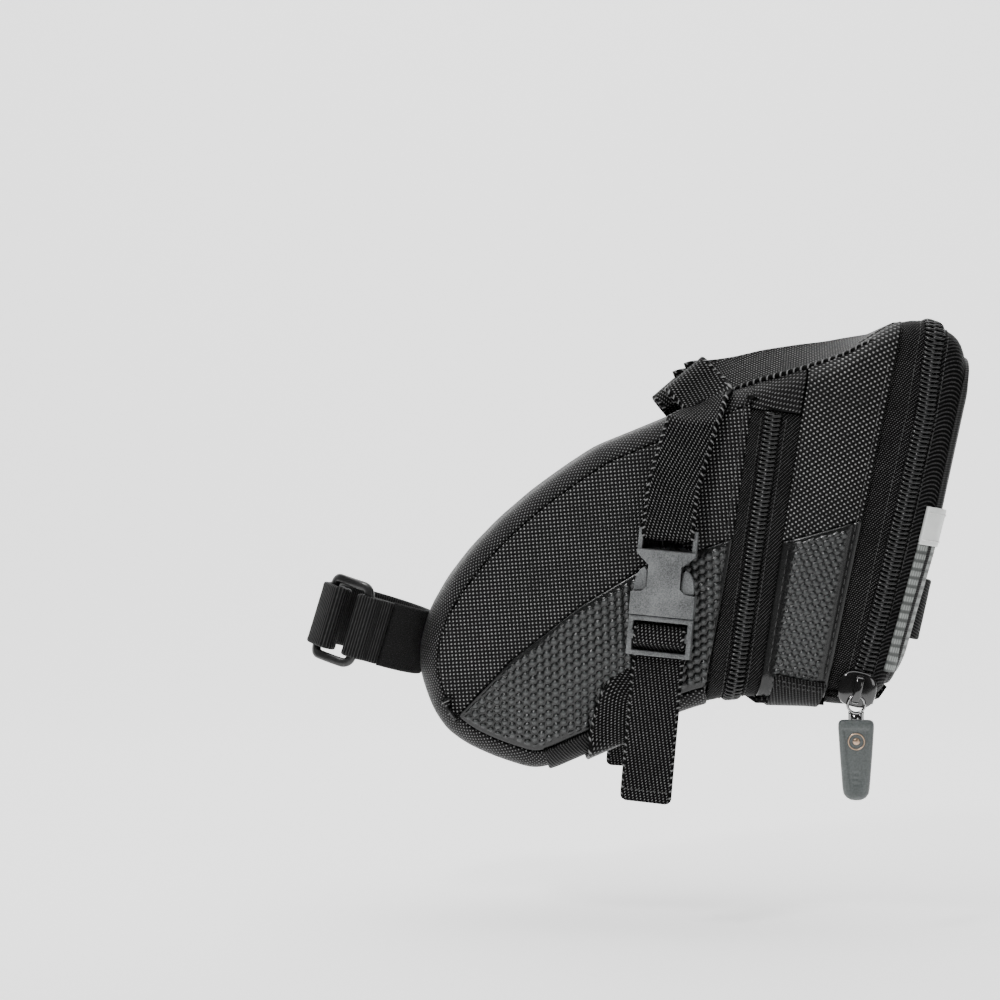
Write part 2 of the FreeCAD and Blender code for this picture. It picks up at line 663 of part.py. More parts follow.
for old in os.listdir(PARTS):
    os.remove(os.path.join(PARTS, old))
for name, shape in NODES.items():
    if not shape.isValid():
        print("INVALID", name)
    bb = shape.BoundBox
    ends = (bb.XMin, bb.XMax, bb.YMin, bb.YMax, bb.ZMin, bb.ZMax)
    print(name, len(shape.Solids), round(shape.Volume, 1), [round(v, 1) for v in ends])
    shape.exportStep(os.path.join(PARTS, name + ".step"))
print(len(NODES), "nodes")
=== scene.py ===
import math

import bmesh
import bpy
import numpy as np
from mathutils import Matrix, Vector


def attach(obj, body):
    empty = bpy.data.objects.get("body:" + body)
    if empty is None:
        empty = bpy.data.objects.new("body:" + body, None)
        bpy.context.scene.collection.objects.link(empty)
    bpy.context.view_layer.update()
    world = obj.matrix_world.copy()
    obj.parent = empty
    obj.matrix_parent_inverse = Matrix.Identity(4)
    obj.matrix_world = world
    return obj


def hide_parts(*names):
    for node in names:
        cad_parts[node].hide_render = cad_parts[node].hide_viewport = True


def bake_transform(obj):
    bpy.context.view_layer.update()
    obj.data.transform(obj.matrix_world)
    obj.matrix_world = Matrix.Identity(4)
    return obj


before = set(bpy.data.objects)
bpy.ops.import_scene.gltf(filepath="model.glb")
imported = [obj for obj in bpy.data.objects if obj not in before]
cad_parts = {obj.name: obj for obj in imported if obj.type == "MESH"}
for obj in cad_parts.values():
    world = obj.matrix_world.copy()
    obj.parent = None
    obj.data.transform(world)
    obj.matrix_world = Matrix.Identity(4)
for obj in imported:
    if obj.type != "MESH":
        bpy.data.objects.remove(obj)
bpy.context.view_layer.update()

# Lengths below are millimetres. The bag frame (u rearward, w up) leans nose-down by TILT in the row frame.
MM = 0.001
TILT = math.radians(8.0)
CT, ST = math.cos(TILT), math.sin(TILT)
ZIP_LEAN = 0.081  # how far the lid's face moves rearward for each millimetre up, in the bag frame
POST_LEAN = math.radians(16.7)
CENTRE = np.array([95.0, 0.0, 18.0])  # a point inside the bag, row frame
SIDES = (("left", 1.0), ("right", -1.0))


def row(u, y, w):
    """Bag frame to row frame."""
    u, y, w = np.broadcast_arrays(np.asarray(u, float), y, w)
    return np.stack([u * CT + w * ST, y, w * CT - u * ST], -1)


def metres(p):
    """A row-frame point as a tuple of metres."""
    return tuple(p * MM)


def unit(v):
    return v / np.maximum(np.linalg.norm(v, axis=-1, keepdims=True), 1e-9)


def smooth01(t):
    t = np.clip(t, 0.0, 1.0)
    return t * t * (3 - 2 * t)


def bell(x, centre, width):
    """1 at the centre, falling away over the width on both sides."""
    return np.exp(-(((x - centre) / width) ** 2))


def mirror(p, sign):
    """sign 1 keeps a left-hand shape, -1 mirrors it to the right."""
    return p * np.array([1.0, sign, 1.0])


def arc_length(p):
    """Distance from the start at each point of a polyline."""
    return np.concatenate([[0], np.cumsum(np.linalg.norm(np.diff(p, axis=0), axis=1))])


def along(s, seg, p):
    """Points of the polyline p at distances s, where seg is its arc_length."""
    return np.stack([np.interp(s, seg, p[:, k]) for k in range(p.shape[1])], -1)


def to_edges(x):
    """Distance of each grid line from the nearer end."""
    return np.minimum(x - x[0], x[-1] - x)


def crowded(count):
    """Positions from -1 to 1 that stand closer together at both ends."""
    return np.sin(np.linspace(-1, 1, count) * math.pi / 2)


# ---------------------------------------------------------------- node materials
class Expr:
    """A value in a node tree that can be added, multiplied and so on."""

    def __init__(self, graph, socket):
        self.graph, self.socket = graph, socket

    def __add__(self, o):
        return self.graph.op("ADD", self, o)

    __radd__ = __add__

    def __mul__(self, o):
        return self.graph.op("MULTIPLY", self, o)

    __rmul__ = __mul__

    def __sub__(self, o):
        return self.graph.op("SUBTRACT", self, o)

    def __rsub__(self, o):
        return self.graph.op("SUBTRACT", o, self)

    def __truediv__(self, o):
        return self.graph.op("DIVIDE", self, o)


class Material:
    def __init__(self, name, rough=0.5, metal=0.0, spec=0.5, sheen=0.0, coat=0.0, coat_rough=0.1):
        self.mat = bpy.data.materials.new(name)
        self.mat.use_nodes = True
        self.nt = self.mat.node_tree
        self.nt.nodes.clear()
        self.out = self.nt.nodes.new("ShaderNodeOutputMaterial")
        self.bsdf = self.nt.nodes.new("ShaderNodeBsdfPrincipled")
        self.nt.links.new(self.bsdf.outputs[0], self.out.inputs[0])
        put = self.bsdf.inputs
        put["Roughness"].default_value = rough
        put["Metallic"].default_value = metal
        put["Specular IOR Level"].default_value = spec
        put["Sheen Weight"].default_value = sheen
        put["Sheen Roughness"].default_value = 0.4
        put["Coat Weight"].default_value = coat
        put["Coat Roughness"].default_value = coat_rough

    def wire(self, value, socket):
        if isinstance(value, Expr):
            self.nt.links.new(value.socket, socket)
        else:
            socket.default_value = value

    def op(self, kind, a, b=None, c=None):
        n = self.nt.nodes.new("ShaderNodeMath")
        n.operation = kind
        for i, v in enumerate((a, b, c)):
            if v is not None:
                self.wire(v, n.inputs[i])
        return Expr(self, n.outputs[0])

    def wave(self, a):
        """1 at whole numbers of a and -1 half way between them."""
        return self.op("COSINE", a * math.tau)

    def step(self, a, lo, hi):
        n = self.nt.nodes.new("ShaderNodeMapRange")
        n.interpolation_type = "SMOOTHSTEP"
        self.wire(a, n.inputs["Value"])
        n.inputs["From Min"].default_value = lo
        n.inputs["From Max"].default_value = hi
        return Expr(self, n.outputs["Result"])

    def fab(self):
        """Fabric coordinates of a piece, in millimetres."""
        n = self.nt.nodes.new("ShaderNodeAttribute")
        n.attribute_name = "fab"
        s = self.nt.nodes.new("ShaderNodeSeparateXYZ")
        self.nt.links.new(n.outputs["Vector"], s.inputs[0])
        return [Expr(self, s.outputs[i]) for i in range(3)]

    def noise(self, scale, detail=2.0, on_fab=False, stretch=None):
        n = self.nt.nodes.new("ShaderNodeTexNoise")
        n.inputs["Scale"].default_value = scale
        n.inputs["Detail"].default_value = detail
        if on_fab:
            c = self.nt.nodes.new("ShaderNodeAttribute")
            c.attribute_name = "fab"
            source = c.outputs["Vector"]
        else:
            c = self.nt.nodes.new("ShaderNodeTexCoord")
            source = c.outputs["Object"]
        if stretch:
            m = self.nt.nodes.new("ShaderNodeMapping")
            m.inputs["Scale"].default_value = stretch
            self.nt.links.new(source, m.inputs["Vector"])
            source = m.outputs[0]
        self.nt.links.new(source, n.inputs["Vector"])
        return Expr(self, n.outputs[0])

    def colour(self, factor, *stops):
        """stops are (position, (r, g, b))."""
        n = self.nt.nodes.new("ShaderNodeValToRGB")
        ramp = n.color_ramp
        while len(ramp.elements) < len(stops):
            ramp.elements.new(0.5)
        for e, (pos, rgb) in zip(ramp.elements, stops):
            e.position = pos
            e.color = (*rgb, 1.0)
        self.wire(factor, n.inputs["Fac"])
        self.nt.links.new(n.outputs["Color"], self.bsdf.inputs["Base Color"])

    def rough(self, expr):
        self.wire(expr, self.bsdf.inputs["Roughness"])

    def bump(self, height, distance, strength=1.0):
        n = self.nt.nodes.new("ShaderNodeBump")
        n.inputs["Distance"].default_value = distance * MM
        n.inputs["Strength"].default_value = strength
        self.wire(height, n.inputs["Height"])
        self.nt.links.new(n.outputs[0], self.bsdf.inputs["Normal"])


def grey(v, tint=(1.0, 1.0, 1.0)):
    return tuple(v * t for t in tint)


def greys(low, high):
    """Colour stops from a dark grey to a lighter one."""
    return (0.0, grey(low)), (1.0, grey(high))


def woven(name, pitch_x, pitch_y, low, high, depth, rough=0.5, spec=0.5, skew=0.0, selvedge=0.0,
          at=(0.30, 0.85)):
    """Dark cloth with painted highlights: the glints of the yarn crossings, and of the edge loops, are
    painted into the colour as bright points. selvedge is the half width where edge loops start.
    """
    cloth = Material(name, rough=rough, spec=spec)
    x, y, _ = cloth.fab()
    xs = x / pitch_x + y * (skew / pitch_x)
    crossing = cloth.wave(xs * 0.5) * cloth.wave(y * (0.5 / pitch_y))
    vary = cloth.noise(1.1, 1.0, on_fab=True)
    slow = cloth.noise(0.09, 2.0, on_fab=True)
    # painted highlight: each yarn crossing's glint as a bright point in the base colour
    painted_glints = cloth.step(crossing, *at) * (vary * 1.3 + 0.25)
    height = cloth.op("ABSOLUTE", crossing) + crossing * 0.45
    if selvedge:
        edge = cloth.step(cloth.op("ABSOLUTE", x), selvedge, selvedge + 0.5)
        loops = cloth.wave(y / 2.1 + cloth.op("ABSOLUTE", x) * 0.22)
        # painted highlight: the glints of the edge loops
        painted_glints = painted_glints * (1.0 - edge) + cloth.step(loops, 0.45, 0.95) * edge * 0.8
        height = height * (1.0 - edge) + (loops + 1.0) * edge * 0.8
    # low is the cloth's own dark colour, high the colour of its painted glints
    dark, light = greys(low, high)
    cloth.colour(painted_glints * (slow * 0.9 + 0.55), dark, (0.35, grey(low + 0.25 * (high - low))), light)
    cloth.bump(height, depth)
    return cloth.mat


def plain(name, scale, detail, dark, light, bump=0.0, at=(0.3, 0.7), **look):
    """A surface whose colour wanders between a dark and a light one."""
    skin = Material(name, **look)
    grain = skin.noise(scale, detail)
    skin.colour(grain, (at[0], dark), (at[1], light))
    if bump:
        skin.bump(grain, bump)
    return skin


def make_fabrics(made):
    # for each woven cloth: its own dark grey, then the grey of its painted glints
    made["nylon"] = woven("ballistic_nylon", 0.82, 0.82, 0.0012, 0.26, 0.24, 0.42, 0.12)
    made["nylon_gusset"] = woven("ballistic_nylon_gusset", 0.82, 0.74, 0.002, 0.16, 0.20, 0.45, 0.10)
    made["webbing"] = woven("webbing", 0.58, 0.80, 0.0008, 0.20, 0.24, 0.42, 0.05, skew=0.5, selvedge=6.7)
    made["tape"] = woven("zip_tape", 0.42, 0.42, 0.001, 0.12, 0.12, spec=0.05, skew=0.35, at=(0.25, 0.98))
    made["lining"] = woven("lining", 0.5, 0.5, 0.03, 0.11, 0.06, rough=0.7)

    cloth = Material("ribbed_fabric", rough=0.55, spec=0.08)
    x, y, _ = cloth.fab()
    rib, knit = cloth.wave(x / 0.62), cloth.wave(y / 0.9)
    slow = cloth.noise(0.12, 2.0, on_fab=True)
    # painted highlight and shade: rib crests painted lighter than the grooves
    cloth.colour(cloth.step(rib + knit * 0.35, -0.3, 1.3) * (slow + 0.4), *greys(0.004, 0.028))
    cloth.bump(rib + knit * 0.25, 0.10)
    made["ribbed"] = cloth.mat

    cloth = Material("grey_webbing", rough=0.6, spec=0.35)
    x, y, _ = cloth.fab()
    band = cloth.wave(y / 2.6)
    fibre = cloth.wave(x / 0.75 + cloth.step(cloth.wave(y / 5.2), -0.1, 0.1) * 0.5)
    slow = cloth.noise(0.3, 2.0, on_fab=True)
    height = cloth.step(band, -1.0, 0.3) * (fibre * 0.22 + 0.55) + 0.3
    dark, middle, light = (0.030, 0.032, 0.031), (0.105, 0.112, 0.107), (0.26, 0.275, 0.265)
    # painted shade and highlight: the grey is the webbing's own colour, but the troughs between the bands are
    # painted darker and the crests lighter
    cloth.colour(height * (slow * 0.5 + 0.7), (0.1, dark), (0.55, middle), (1.0, light))
    cloth.bump(height, 0.28)
    made["grey_webbing"] = cloth.mat

    cloth = Material("reflective", rough=0.45, spec=0.5)
    x, y, _ = cloth.fab()
    net = cloth.wave(x / 0.6) * cloth.wave(y / 0.6)
    slow = cloth.noise(0.25, 2.0, on_fab=True)
    cloth.colour(net * 0.12 + slow * 0.6 + 0.15, (0.0, (0.52, 0.53, 0.52)), (1.0, (0.80, 0.82, 0.80)))
    cloth.bump(net, 0.03)
    made["reflective"] = cloth.mat

    cloth = Material("ribbon", rough=0.5, spec=0.08)
    x, y, _ = cloth.fab()
    rib, weft = cloth.wave(x / 0.95 + y * 0.35), cloth.wave(y / 0.6)
    slow = cloth.noise(0.3, 2.0, on_fab=True)
    # painted highlight and shade: rib crests painted lighter than the grooves
    cloth.colour(cloth.step(rib + weft * 0.3, 0.0, 1.3) * (slow + 0.5), *greys(0.004, 0.055))
    cloth.bump(rib + weft * 0.3, 0.16)
    made["ribbon"] = cloth.mat

    cloth = Material("binding", rough=0.45, spec=0.2)
    rib = cloth.wave(cloth.fab()[1] / 0.7)
    slow = cloth.noise(0.4, 2.0, on_fab=True)
    # painted highlight and shade: rib crests painted lighter than the grooves
    cloth.colour(cloth.step(rib, -0.4, 1.0) * 0.8 + slow * 0.2, *greys(0.004, 0.024))
    cloth.bump(rib, 0.05)
    made["binding"] = cloth.mat

    cloth = Material("strap_back", rough=0.5, spec=0.1)
    rib = cloth.wave(cloth.fab()[1] / 0.8)
    slow = cloth.noise(0.5, 2.0, on_fab=True)
    # painted highlight and shade: rib crests painted lighter than the grooves
    cloth.colour(cloth.step(rib, -0.3, 1.0) * (slow + 0.4), *greys(0.004, 0.032))
    cloth.bump(rib, 0.10)
    made["strap_back"] = cloth.mat

    cloth = Material("loop_pile", rough=0.75, spec=0.1, sheen=0.08)
    curl = cloth.noise(2.6, 4.0, on_fab=True)
    cloth.colour(curl, (0.38, grey(0.003)), (0.62, grey(0.014)), (0.78, grey(0.06)))
    cloth.bump(curl, 0.5)
    made["loop_pile"] = cloth.mat


def make_materials():
    made = {}
    make_fabrics(made)

    skin = Material("grip_vinyl", rough=0.24, spec=0.35, coat=0.2, coat_rough=0.14)
    stud_glint_mask = skin.fab()[2]
    fine = skin.noise(5.5, 3.0, on_fab=True)
    dark, middle, light = (0.002, 0.0021, 0.0021), (0.008, 0.0085, 0.0085), (0.050, 0.053, 0.053)
    # painted highlight and shade: the stud tops are painted light and the vinyl between the studs dark, from
    # the stud height
    skin.colour(stud_glint_mask * 0.8 + fine * 0.2, (0.0, dark), (0.35, middle), (1.0, light))
    skin.rough(fine * 0.10 + 0.20)
    skin.bump(fine, 0.05)
    made["vinyl"] = skin.mat

    skin = Material("acetal", rough=0.42, spec=0.5)
    grain, slow = skin.noise(2600.0, 2.0), skin.noise(120.0, 2.0)
    skin.colour(grain * 0.6 + slow * 0.4, (0.35, (0.040, 0.042, 0.043)), (0.65, (0.165, 0.171, 0.173)))
    skin.rough(grain * 0.2 + 0.34)
    skin.bump(grain, 0.05)
    made["acetal"] = skin.mat

    thread = {"scale": 900.0, "detail": 1.0}
    simple = {
        "white_thread": plain("white_thread", **thread, dark=(0.55, 0.55, 0.54), light=(0.8, 0.8, 0.79),
                              rough=0.6, spec=0.3),
        "black_thread": plain("black_thread", **thread, dark=grey(0.012), light=grey(0.045), rough=0.4),
        "coil": plain("zip_coil", 300.0, 2.0, grey(0.004), grey(0.010), rough=0.2, spec=0.4),
        "ring": plain("ring_plastic", 1500.0, 2.0, grey(0.008), grey(0.016), 0.02, rough=0.3),
        "enamel": plain("slider_enamel", 200.0, 2.0, grey(0.006), grey(0.011), rough=0.12, spec=0.6, coat=0.6,
                        coat_rough=0.05),
        "nickel": plain("link_nickel", 400.0, 2.0, grey(0.20), grey(0.34), rough=0.14, metal=1.0),
        "rubber": plain("pull_rubber", 1800.0, 2.0, (0.050, 0.057, 0.056), (0.080, 0.090, 0.088), 0.025,
                        rough=0.42),
        "bronze": plain("badge_bronze", 700.0, 2.0, (0.42, 0.29, 0.20), (0.55, 0.40, 0.29), rough=0.3,
                        metal=1.0),
        "stage": plain("stage_paper", 6.0, 1.0, grey(0.60), grey(0.62), at=(0.0, 1.0), rough=0.9, spec=0.1),
    }
    glow = simple["stage"].bsdf.inputs
    glow["Emission Color"].default_value = (1, 1, 1, 1)
    glow["Emission Strength"].default_value = 1.25
    made.update({key: skin.mat for key, skin in simple.items()})
    return made


MAT = make_materials()


# ---------------------------------------------------------------- mesh helpers
def build(name, verts, faces, mat, body=None, fab=None, slot=None, replaces=(), smooth=True):
    """A mesh object from row-frame millimetres."""
    me = bpy.data.meshes.new(name)
    me.from_pydata((np.asarray(verts, float) * MM).tolist(), [], [list(map(int, f)) for f in faces])
    if fab is None:
        fab = np.asarray(verts, float)[:, [1, 2, 0]]
    at = me.attributes.new("fab", "FLOAT_VECTOR", "POINT")
    at.data.foreach_set("vector", np.ascontiguousarray(fab, dtype=np.float32).ravel())
    me.polygons.foreach_set("use_smooth", [bool(smooth)] * len(me.polygons))
    me.materials.append(MAT[mat])
    me.update()
    obj = bpy.data.objects.new(name, me)
    bpy.context.scene.collection.objects.link(obj)
    if body:
        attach(obj, body)
    if replaces:
        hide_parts(*replaces)
    return obj


def grid_quads(n, m, start=0, flip=False):
    i, j = np.meshgrid(np.arange(n - 1), np.arange(m - 1), indexing="ij")
    a = (i * m + j).ravel() + start
    q = np.stack([a, a + m, a + m + 1, a + 1], -1)
    return q[:, ::-1] if flip else q


def surface_normals(p):
    """Outward normals of a grid of points, and whether its faces have to be turned."""
    n = unit(np.cross(np.gradient(p, axis=0), np.gradient(p, axis=1)))
    out = ((p - CENTRE) * n).sum(-1).mean() >= 0
    return (n, False) if out else (-n, True)


def lines(a, b, step, roll=0.0):
    """Grid positions from a to b, closer at the ends where an edge rolls over."""
    count = max(2, int(round((b - a - 2 * roll) / step)) + 1)
    inner = np.linspace(a + roll, b - roll, count)
    if roll <= 0:
        return inner
    first = [a, a + 0.12 * roll, a + 0.45 * roll]
    return np.concatenate([first, inner, [b - 0.45 * roll, b - 0.12 * roll, b]])


def roll_drop(e, roll):
    """How far a rounded edge of that radius falls at distance e from it."""
    if roll <= 0:
        return np.zeros_like(e)
    k = roll - np.clip(e, 0, roll)
    return roll - np.sqrt(np.maximum(roll * roll - k * k, 0))


def closed_sheet(outer, inner, flip=False):
    """Vertices and faces of the solid between two matching grids of points."""
    n, m = outer.shape[:2]
    rim = [(0, j) for j in range(m)] + [(i, m - 1) for i in range(1, n)]
    rim += [(n - 1, j) for j in range(m - 2, -1, -1)] + [(i, 0) for i in range(n - 2, 0, -1)]
    rim = np.array([i * m + j for i, j in rim])
    after = np.roll(rim, -1)
    sides = np.stack([rim, after, after + n * m, rim + n * m], -1)
    if flip:
        sides = sides[:, ::-1]
    faces = np.concatenate([grid_quads(n, m, 0, flip), grid_quads(n, m, n * m, not flip), sides])
    return np.concatenate([outer.reshape(-1, 3), inner.reshape(-1, 3)]), faces


def shell(name, p, thick, mat, body, fab, ei=None, ej=None, roll=0.0, lift=0.0, **more):
    """A closed sheet with the grid p as its outer face.

    ei and ej are how far each grid line, or each point, is from a rolled edge.
    """
    nor, flip = surface_normals(p)
    e = np.full(p.shape[:2], 1e3)
    if ei is not None:
        e = np.minimum(e, np.asarray(ei)[:, None] if np.ndim(ei) == 1 else ei)
    if ej is not None:
        e = np.minimum(e, np.asarray(ej)[None, :])
    outer = p + nor * (lift - roll_drop(e, roll))[..., None]
    verts, faces = closed_sheet(outer, p - nor * thick, flip)
    return build(name, verts, faces, mat, body, np.concatenate([fab.reshape(-1, 3)] * 2), **more)


def loft(rings, closed_path=False):
    """Vertices and faces of a tube through rings of points, capped at its ends."""
    n, m = rings.shape[:2]
    last = n if closed_path else n - 1
    i, j = np.meshgrid(np.arange(last), np.arange(m), indexing="ij")
    i, j = i.ravel(), j.ravel()
    a, b = i * m + j, i * m + (j + 1) % m
    c, d = ((i + 1) % n) * m + (j + 1) % m, ((i + 1) % n) * m + j
    faces = [list(f) for f in np.stack([a, b, c, d], -1)]
    if not closed_path:
        faces.append(list(range(m))[::-1])
        faces.append([(n - 1) * m + j for j in range(m)])
    return rings.reshape(-1, 3), faces


def outward(verts, faces):
    """Flips all faces if the closed mesh is inside out."""
    v = np.asarray(verts)
    total = 0.0
    for f in faces[:: max(1, len(faces) // 4000)]:
        p = v[list(f)]
        for k in range(1, len(f) - 1):
            total += np.dot(p[0] - v.mean(0), np.cross(p[k] - v.mean(0), p[k + 1] - v.mean(0)))
    return faces if total >= 0 else [list(f)[::-1] for f in faces]


def merge(parts):
    """Several (verts, faces, fab) as one."""
    verts, faces, fabs, start = [], [], [], 0
    for v, f, g in parts:
        verts.append(v)
        fabs.append(g)
        faces.extend([[int(i) + start for i in q] for q in f])
        start += len(v)
    return np.concatenate(verts), faces, np.concatenate(fabs)


def solid(rings, closed_path=False):
    """A tube through rings as (verts, faces, fab) with its faces outward."""
    verts, faces = loft(rings, closed_path)
    return verts, outward(verts, faces), verts


def oval(count, half_x, half_y, power_x, power_y):
    """A rounded rectangle as its x and its y values. A power of 1 is an ellipse, a smaller one is squarer."""
    ang = np.linspace(0, 2 * math.pi, count, endpoint=False)
    cos, sin = np.cos(ang), np.sin(ang)
    return np.sign(cos) * np.abs(cos) ** power_x * half_x, np.sign(sin) * np.abs(sin) ** power_y * half_y


def ringed(path, side_x, side_y, section):
    """The section's outline at every point of the path."""
    x, y = section
    return path[:, None, :] + side_x[:, None, :] * x[None, :, None] + side_y[:, None, :] * y[None, :, None]


def sweep(path, normal, section, closed=True):
    """A bar along a path as (verts, faces, fab). normal is the direction of the section's y."""
    ahead = np.roll(path, -1, 0) - np.roll(path, 1, 0) if closed else np.gradient(path, axis=0)
    t = unit(ahead)
    n = np.broadcast_to(np.asarray(normal, float), path.shape)
    n = unit(n - t * (n * t).sum(-1, keepdims=True))
    return solid(ringed(path, np.cross(t, n), n, section), closed)


def resample(points, step, sigma=0.0):
    """Even spacing along a polyline, softened, with its ends kept."""
    p = np.asarray(points, float)
    seg = arc_length(p)
    count = max(3, int(round(seg[-1] / step)) + 1)
    s = np.linspace(0, seg[-1], count)
    q = along(s, seg, p)
    if sigma > 0:
        h = s[1] - s[0]
        r = min(max(1, int(3 * sigma / h)), count - 2)
        ker = np.exp(-0.5 * (np.arange(-r, r + 1) * h / sigma) ** 2)
        ker /= ker.sum()
        head = 2 * q[0] - q[r:0:-1]
        tail = 2 * q[-1] - q[-2:-r - 2:-1]
        ext = np.concatenate([head, q, tail])
        q = np.stack([np.convolve(ext[:, k], ker, "valid") for k in range(p.shape[1])], -1)
    return q


def web_section(width, thick, crown=0.06):
    """Cross-section of flat webbing with slightly fuller edges."""
    x = np.array([-1, -0.988, -0.96, -0.9, -0.8, -0.6, -0.3, 0, 0.3, 0.6, 0.8, 0.9, 0.96, 0.988, 1])
    t = thick / 2 * (1 - np.abs(x) ** 40) ** 0.5 * (1 + 0.14 * bell(np.abs(x), 0.92, 0.06))
    t[1] = t[-2] = thick * 0.26
    t[0] = t[-1] = 0.0
    top = np.stack([x * width / 2, t + crown * (1 - x * x)], -1)
    low = np.stack([x[-2:0:-1] * width / 2, -t[-2:0:-1]], -1)
    return np.concatenate([top, low])


def strap(name, centre, across, width, thick, mat, body, slot="webbing", step=1.2, sigma=1.5, ends=0.0,
          **more):
    """Webbing along centre points with a width direction at each. ends rounds the corners of its tip."""
    data = resample(np.concatenate([centre, np.asarray(across, float) * 10], 1), step, sigma)
    c, a = data[:, :3], unit(data[:, 3:])
    t = unit(np.gradient(c, axis=0))
    a = unit(a - t * (a * t).sum(-1, keepdims=True))
    nrm = np.cross(t, a)
    sec = web_section(width, thick)
    s = arc_length(c)
    half = np.full(len(s), width / 2)
    if ends > 0:
        kept = s[-1] - s > ends * 1.05
        tip = s[-1] - np.array([ends, ends * 0.5, ends * 0.2, 0.02])
        c = np.concatenate([c[kept], along(tip, s, c)])
        a, nrm = [np.concatenate([x[kept]] + [x[-1:]] * len(tip)) for x in (a, nrm)]
        s = np.concatenate([s[kept], tip])
        into_tip = np.clip(ends - (s[-1] + 0.02 - s), 0, ends) / ends
        half = width / 2 - ends * (1 - np.sqrt(np.clip(1 - into_tip ** 2, 0, 1)))
    scale = (half / (width / 2))[:, None]
    x, z = sec[:, 0][None, :] * scale, np.broadcast_to(sec[:, 1][None, :], (len(s), len(sec)))
    rings = c[:, None, :] + a[:, None, :] * x[..., None] + nrm[:, None, :] * z[..., None]
    verts, faces, _ = solid(rings)
    fab = np.stack([x, np.broadcast_to(s[:, None], x.shape), z * 0], -1).reshape(-1, 3)
    return build(name, verts, faces, mat, body, fab, slot=slot, **more)


def stitches(name, points, normals, body, slot, length, pitch, r=0.17, mat="black_thread"):
    """Short threads laid along a line on a surface."""
    seg = arc_length(points)
    prof = np.array([(0.0, 0.25), (0.18, 0.85), (0.5, 1.0), (0.82, 0.85), (1.0, 0.25)])
    ang = np.linspace(0, 2 * math.pi, 6, endpoint=False)
    parts = []
    for start in np.arange(0.3, seg[-1] - length, pitch):
        rings = []
        for f, k in prof:
            s = start + f * length
            n = unit(along(s, seg, normals))
            ahead = along(s + 0.2, seg, points) - along(s - 0.2, seg, points)
            b = unit(np.cross(unit(ahead), n))
            lift = 0.10 * math.sin(math.pi * f) - 0.05
            ring = (np.cos(ang)[:, None] * b + np.sin(ang)[:, None] * n) * r * k
            rings.append(along(s, seg, points) + n * lift + ring)
        parts.append(solid(np.array(rings)))
    verts, faces, _ = merge(parts)
    build(name, verts, faces, mat, body, slot=slot)


# ---------------------------------------------------------------- form of the bag
WEDGE = 0.20  # half width gained for each millimetre rearward


def half_width(u):
    return 26.0 + (u - 15.0) * WEDGE


FRONT_LINE = resample([
    (111.8, -4.1), (102.8, -7.7), (91.5, -13.8), (83.1, -18.9), (74.6, -24.3), (66.1, -29.7), (61, -33),
    (56, -34.9),  (52.9, -34.7), (43.3, -33.2), (34.4, -30.8), (27.3, -27.3), (22, -21.5), (18.2, -14.6),
    (16.3, -10), (15.5, -5),  (15.4, 0), (16.8, 8.9), (21.1, 19), (26.9, 29.3), (34.6, 39.9), (44, 50.6),
    (53.6, 59.8), (61.8, 67), (73.4, 73.7),  (84.6, 80.3), (95.9, 87), (107, 93.2), (111.8, 95.8)], 0.5, 2.2)
FRONT_S = arc_length(FRONT_LINE)
FRONT_T = unit(np.gradient(FRONT_LINE, axis=0))
FRONT_N = np.stack([FRONT_T[:, 1], -FRONT_T[:, 0]], -1)  # inward
TOP_LINE = resample([
    (100, 89.3), (107, 93.2), (111.8, 95.8), (118.2, 99), (124.5, 102.2), (130.7, 105.5), (137.3, 110.9),
    (141.2, 114.2), (145.4, 116.8), (149.6, 117.9), (154, 117.8), (158.6, 116.8), (162, 114.7), (164, 112.1),
    (165.5, 108.7), (166.3, 105.5), (166.7, 101)], 0.5, 1.2)
LOW_LINE = resample([
    (98, -10.2), (102.8, -7.7), (111.8, -4.1), (121.7, -2.8), (134.8, -1), (143.7, -0.6), (148.1, -0.4),
    (151.5, 0.6), (155, 3.6), (157.6, 7.4), (158.7, 12.1)], 0.5, 1.0)
CORNER = 9.0
SEAM_D = 5.5  # the side seam, this far inside the outline
SEAM_ANGLE = math.acos(1 - SEAM_D / CORNER)
FRONT_END = 105.0
EXP_C, MAIN_C, LID_C = 111.8, 146.6, 157.1
REAR0, REAR1 = 118.6, 138.4


def front_at(s):
    """Points of the outline at arc lengths s, and the directions inward."""
    return along(s, FRONT_S, FRONT_LINE), unit(along(s, FRONT_S, FRONT_N))


def front_s_at_u(u, top):
    """Arc length where the outline crosses u, on its top or its bottom."""
    low = int(np.argmin(FRONT_LINE[:, 0]))
    if top:
        return float(np.interp(u, FRONT_LINE[low:, 0], FRONT_S[low:]))
    return float(np.interp(-u, -FRONT_LINE[:low, 0], FRONT_S[:low]))


def outline_distance(u, w):
    """Distance inside the front outline."""
    shape = np.shape(u)
    q = np.stack([np.ravel(u), np.ravel(w)], -1)
    best = np.full(len(q), 1e9)
    for k in range(0, len(q), 4000):
        d = q[k:k + 4000, None, :] - FRONT_LINE[None, ::2, :]
        best[k:k + 4000] = np.sqrt((d ** 2).sum(-1).min(1))
    return best.reshape(shape)


def clear_post(p, radius=17.7):
    """Pushes points off the seat post and its strap."""
    a = np.array([math.sin(POST_LEAN), 0.0, math.cos(POST_LEAN)])
    axial = (p * a).sum(-1, keepdims=True) * a
    r = p - axial
    d = np.linalg.norm(r, axis=-1, keepdims=True)
    soft = np.maximum(d, radius)
    return axial + r / np.maximum(d, 1e-6) * soft


